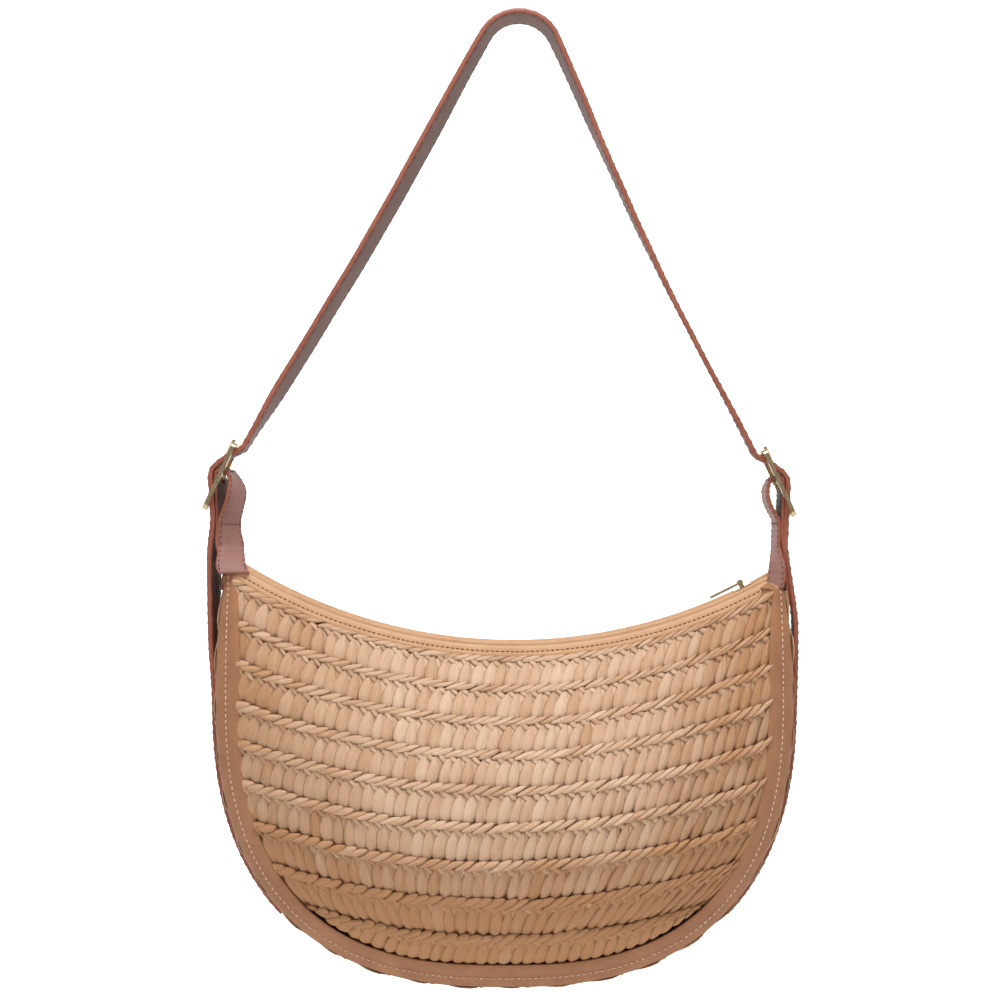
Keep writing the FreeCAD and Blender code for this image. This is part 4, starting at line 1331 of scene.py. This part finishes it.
@dataclass
class Tabs:
    """The doubled tabs that hold the buckles and are sewn to the bag.

    Attributes:
        offset: How far outside the bar the tab's neck is.
        layer: How far each of its two layers lies from the neck's middle.
        slot: Where the tab is open for the tongue, along the strap from the bar.
        forward: How far the inner flap comes forward over the panel.
        lead: How far a turned tab moves towards the bag.
        flatness: How much of its lean the inner flap keeps under the neck.
        seam_height: The height of the stitches across the inner flap.
    """

    shape: BagShape
    finishes: Finishes
    width: float = 21.0
    thickness: float = 2.3
    offset: float = 0.6
    layer: float = 1.25
    neck_height: float = -320.0
    flap_top: float = -338.3
    slot: tuple = (-7.0, 9.0)
    forward: float = 13.5
    lead: float = 7.5
    flatness: float = 0.35
    seam_height: float = -322.0
    seam_pitch: float = 2.7

    def build(self) -> None:
        """Make both tabs, each one piece with its loop and its two flaps."""
        for side, name in SIDE_NAMES.items():
            buckle = Buckle(side)
            line = catmull_rom(self._route(side, buckle.bar), 1.3)
            top = max(range(len(line)), key=lambda index: line[index].z)
            inner = [index > top for index in range(len(line))]
            turned = [self._turned(side, buckle.bar.x, *where) for where in zip(line, inner)]
            places, sides, widths = zip(*turned)
            ribbon = Ribbon(places, sides, widths, self.thickness, partial(self._slotted, buckle))
            sketch = Sketch(f"leather_tab_{name}")
            ribbon.lay(sketch)
            ribbon.sew(sketch, 1.6, 3.6, 2.4)
            self._cross_seam(sketch, ribbon, top)
            piece = sketch.finish(*self.finishes.belt)
            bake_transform(piece)
            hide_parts(f"tab_loop_{name}", f"tab_flap_outer_{name}", f"tab_flap_inner_{name}")

    def _route(self, side: int, bar: Vector) -> list[Vector]:
        """Return the way up the outer flap, round the bar and down the inner flap."""
        neck = self.neck_height - bar.z
        outer, inner = self.offset + self.layer, self.offset - self.layer
        loop = [(outer, neck), (2.5, 0.45 * neck), (2.85, 1.0), (1.2, 2.9), (-1.7, 2.9), (-5.5, 0.8)]
        loop += [(-7.9, 0.22 * neck), (-6.8, 0.52 * neck), (-3.3, 0.8 * neck), (inner, neck)]
        around = [Vector((bar.x + side * out, 0.0, bar.z + above)) for out, above in loop]
        return self._outer_flap(side, bar)[::-1] + around + self._inner_flap(side, bar)

    def _turned(self, side: int, bar: float, place: Vector, inner: bool) -> tuple[Vector, Vector, float]:
        """Turn one place of the tab about its neck.

        Returns:
            The place, the direction across the tab there and its width.
        """
        axis = bar + side * self.offset
        yaws = INNER_YAWS if inner else OUTER_YAWS
        turn = math.radians(between(yaws[side], place.z))
        lead = self.lead * math.sin(max(turn, 0.0)) * smooth_step(-355.0, -330.0, place.z)
        shift = place.x - axis
        if inner and place.z <= -326.0:
            shift = (self.offset - self.layer) * side + self.flatness * shift
        swing = place.x - axis - shift * (1.0 - math.cos(turn))
        forward = self.forward * smooth_step(-335.0, -354.0, place.z) if inner else 0.0
        flare = FLARES[side] * smooth_step(-328.0, -354.0, place.z) if inner else 0.0
        turned = Vector((axis + swing + lead, -shift * math.sin(turn) - forward, place.z))
        return turned, Vector((math.sin(turn), math.cos(turn), 0.0)) * side, self.width + flare

    def _slotted(self, buckle: Buckle, place: Vector) -> bool:
        """Tell whether a place of the tab is open for the tongue."""
        along, out = buckle.local(Vector((place.x, 0.0, place.z)))
        return self.slot[0] < along < self.slot[1] and -4.5 < out < 9.0

    def _outer_flap(self, side: int, bar: Vector) -> list[Vector]:
        """Return the way down to the gusset."""
        corner = self.shape.corner_height(side)
        places = [Vector((bar.x + side * (self.offset + self.layer), 0.0, self.flap_top + 4.0))]
        for height in (corner + 4.0, corner - 3.0, corner - 10.0):
            half = self.shape.half_width(self.shape.outline, height)
            places.append(Vector((self.shape.centre + side * (half + 1.6), 0.0, height)))
        return places

    def _inner_flap(self, side: int, bar: Vector) -> list[Vector]:
        """Return the way down to the corner of the panel."""
        start = Vector((bar.x + side * (self.offset - self.layer), 0.0, self.flap_top + 6.0))
        inwards, above = FLAP_ENDS[side]
        corner = self.shape.corner_height(side)
        half = self.shape.half_width(self.shape.outline, corner)
        end = Vector((self.shape.centre + side * (half - inwards), 0.0, corner + above))
        return [start, (start + end) / 2 + Vector((side * 1.5, 0.0, -1.0)), end]

    def _cross_seam(self, sketch: Sketch, ribbon: Ribbon, top: int) -> None:
        """Sew across the inner flap under the loop."""
        flap = range(top, len(ribbon.line))
        seat = min(flap, key=lambda index: abs(ribbon.line[index].z - self.seam_height))
        for number in range(-3, 4):
            place = ribbon.place(seat, number * self.seam_pitch, ribbon.thickness / 2 + 0.1)
            sketch.stitch(place, ribbon.sides[seat], ribbon.outwards[seat], 2.0, 0.9, 3)


# Hard pieces, lining, studio
def dress_plain_pieces(finishes: Finishes) -> None:
    """Give the metal fittings and the lining, which keep their own shapes, their materials."""
    metal = ("buckle_", "zip_stop_", "zip_slider", "zip_pull")
    for name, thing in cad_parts.items():
        if name.startswith((*metal, "lining_")):
            thing.data.materials.clear()
            thing.data.materials.append(finishes.brass if name.startswith(metal) else finishes.lining)


LIGHTS = {
    "key": ((0.0, -0.85, 1.5), 1.1, 38.0),
    "fill": ((-1.6, -1.7, 0.4), 1.6, 5.5),
    "other_fill": ((1.6, -1.5, 0.4), 1.4, 3.5),
}


@dataclass
class Studio:
    """A pale floor and backdrop, soft light and the camera, in metres.

    Attributes:
        floor: The floor's height.
        near: How far the floor runs to the front.
        depth: How far the backdrop stands behind.
        bend: The radius between the floor and the backdrop.
        rise: How high the backdrop stands over the floor.
        span: Half the width of the floor.
        lit: The place that the lamps point at.
        look: The camera's height.
        side: The camera's place to the right.
        distance: How far the camera is from the bag.
        seen: How wide the picture is at the bag.
        sensor: The width of the camera's sensor in millimetres.
    """

    finishes: Finishes
    floor: float = -0.72
    near: float = -3.0
    depth: float = 4.0
    bend: float = 0.8
    rise: float = 4.0
    span: float = 9.0
    lit: tuple = (0.0, 0.0, -0.4)
    look: float = -0.3059
    side: float = -0.0127
    distance: float = 1.75
    seen: float = 0.6873
    sensor: float = 36.0

    def build(self) -> None:
        """Make everything around the bag."""
        self._sweep()
        for name, (place, size, power) in LIGHTS.items():
            self._light(name, Vector(place), size, power)
        world = bpy.data.worlds.new("studio_world")
        world.use_nodes = True
        shader = world.node_tree.nodes["Background"]
        shader.inputs["Color"].default_value = (1.0, 0.99, 0.98, 1.0)
        shader.inputs["Strength"].default_value = 0.24
        bpy.context.scene.world = world
        bpy.context.scene.view_settings.view_transform = "Standard"
        self._camera()

    def _sweep(self) -> None:
        """Make the floor, which bends up into the backdrop."""
        start = self.depth - self.bend
        profile = [Vector((0.0, self.near, self.floor)), Vector((0.0, start, self.floor))]
        for index in range(1, 13):
            turn = math.pi / 2 * index / 12
            height = self.floor + self.bend * (1.0 - math.cos(turn))
            profile.append(Vector((0.0, start + self.bend * math.sin(turn), height)))
        profile.append(Vector((0.0, self.depth, self.floor + self.rise)))
        sketch = Sketch("studio_sweep")
        ends = (Vector((-self.span, 0.0, 0.0)), Vector((self.span, 0.0, 0.0)))
        sketch.grid([[(place + end) / MM for place in profile] for end in ends])
        sketch.finish(self.finishes.paper)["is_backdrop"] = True

    def _light(self, name: str, place: Vector, size: float, power: float) -> None:
        """Hang one round lamp."""
        data = bpy.data.lights.new(name, "AREA")
        data.shape = "DISK"
        data.size = size
        data.energy = power
        lamp = bpy.data.objects.new(name, data)
        aim = (Vector(self.lit) - place).to_track_quat("-Z", "Y")
        lamp.matrix_world = Matrix.Translation(place) @ aim.to_matrix().to_4x4()
        bpy.context.scene.collection.objects.link(lamp)

    def _camera(self) -> None:
        """Place the camera, level and straight in front."""
        data = bpy.data.cameras.new("view")
        data.sensor_width = self.sensor
        data.lens = self.sensor * self.distance / self.seen
        eye = bpy.data.objects.new("view", data)
        place = Matrix.Translation((self.side, -self.distance, self.look))
        eye.matrix_world = place @ Matrix.Rotation(math.pi / 2, 4, "X")
        bpy.context.scene.collection.objects.link(eye)
        bpy.context.scene.camera = eye


def note_size(record: dict, moment: str) -> None:
    low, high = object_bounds()
    record[moment] = {"low": [float(part) for part in low], "high": [float(part) for part in high]}


def main() -> None:
    """Build every piece of the bag and its studio."""
    logging.basicConfig(level=logging.INFO)
    sizes: dict = {}
    note_size(sizes, "frame")
    shape, finishes = BagShape(), Finishes()
    for side in (FRONT, BACK):
        BraidPanel(shape, finishes, side).build()
    BraidGusset(shape, finishes).build()
    SeamBands(shape, finishes).build()
    Mouth(shape, finishes).build()
    Strap(shape, finishes).build()
    Tabs(shape, finishes).build()
    dress_plain_pieces(finishes)
    Studio(finishes).build()
    note_size(sizes, "finished")
    log.info("sizes written")


if __name__ == "__main__":
    main()
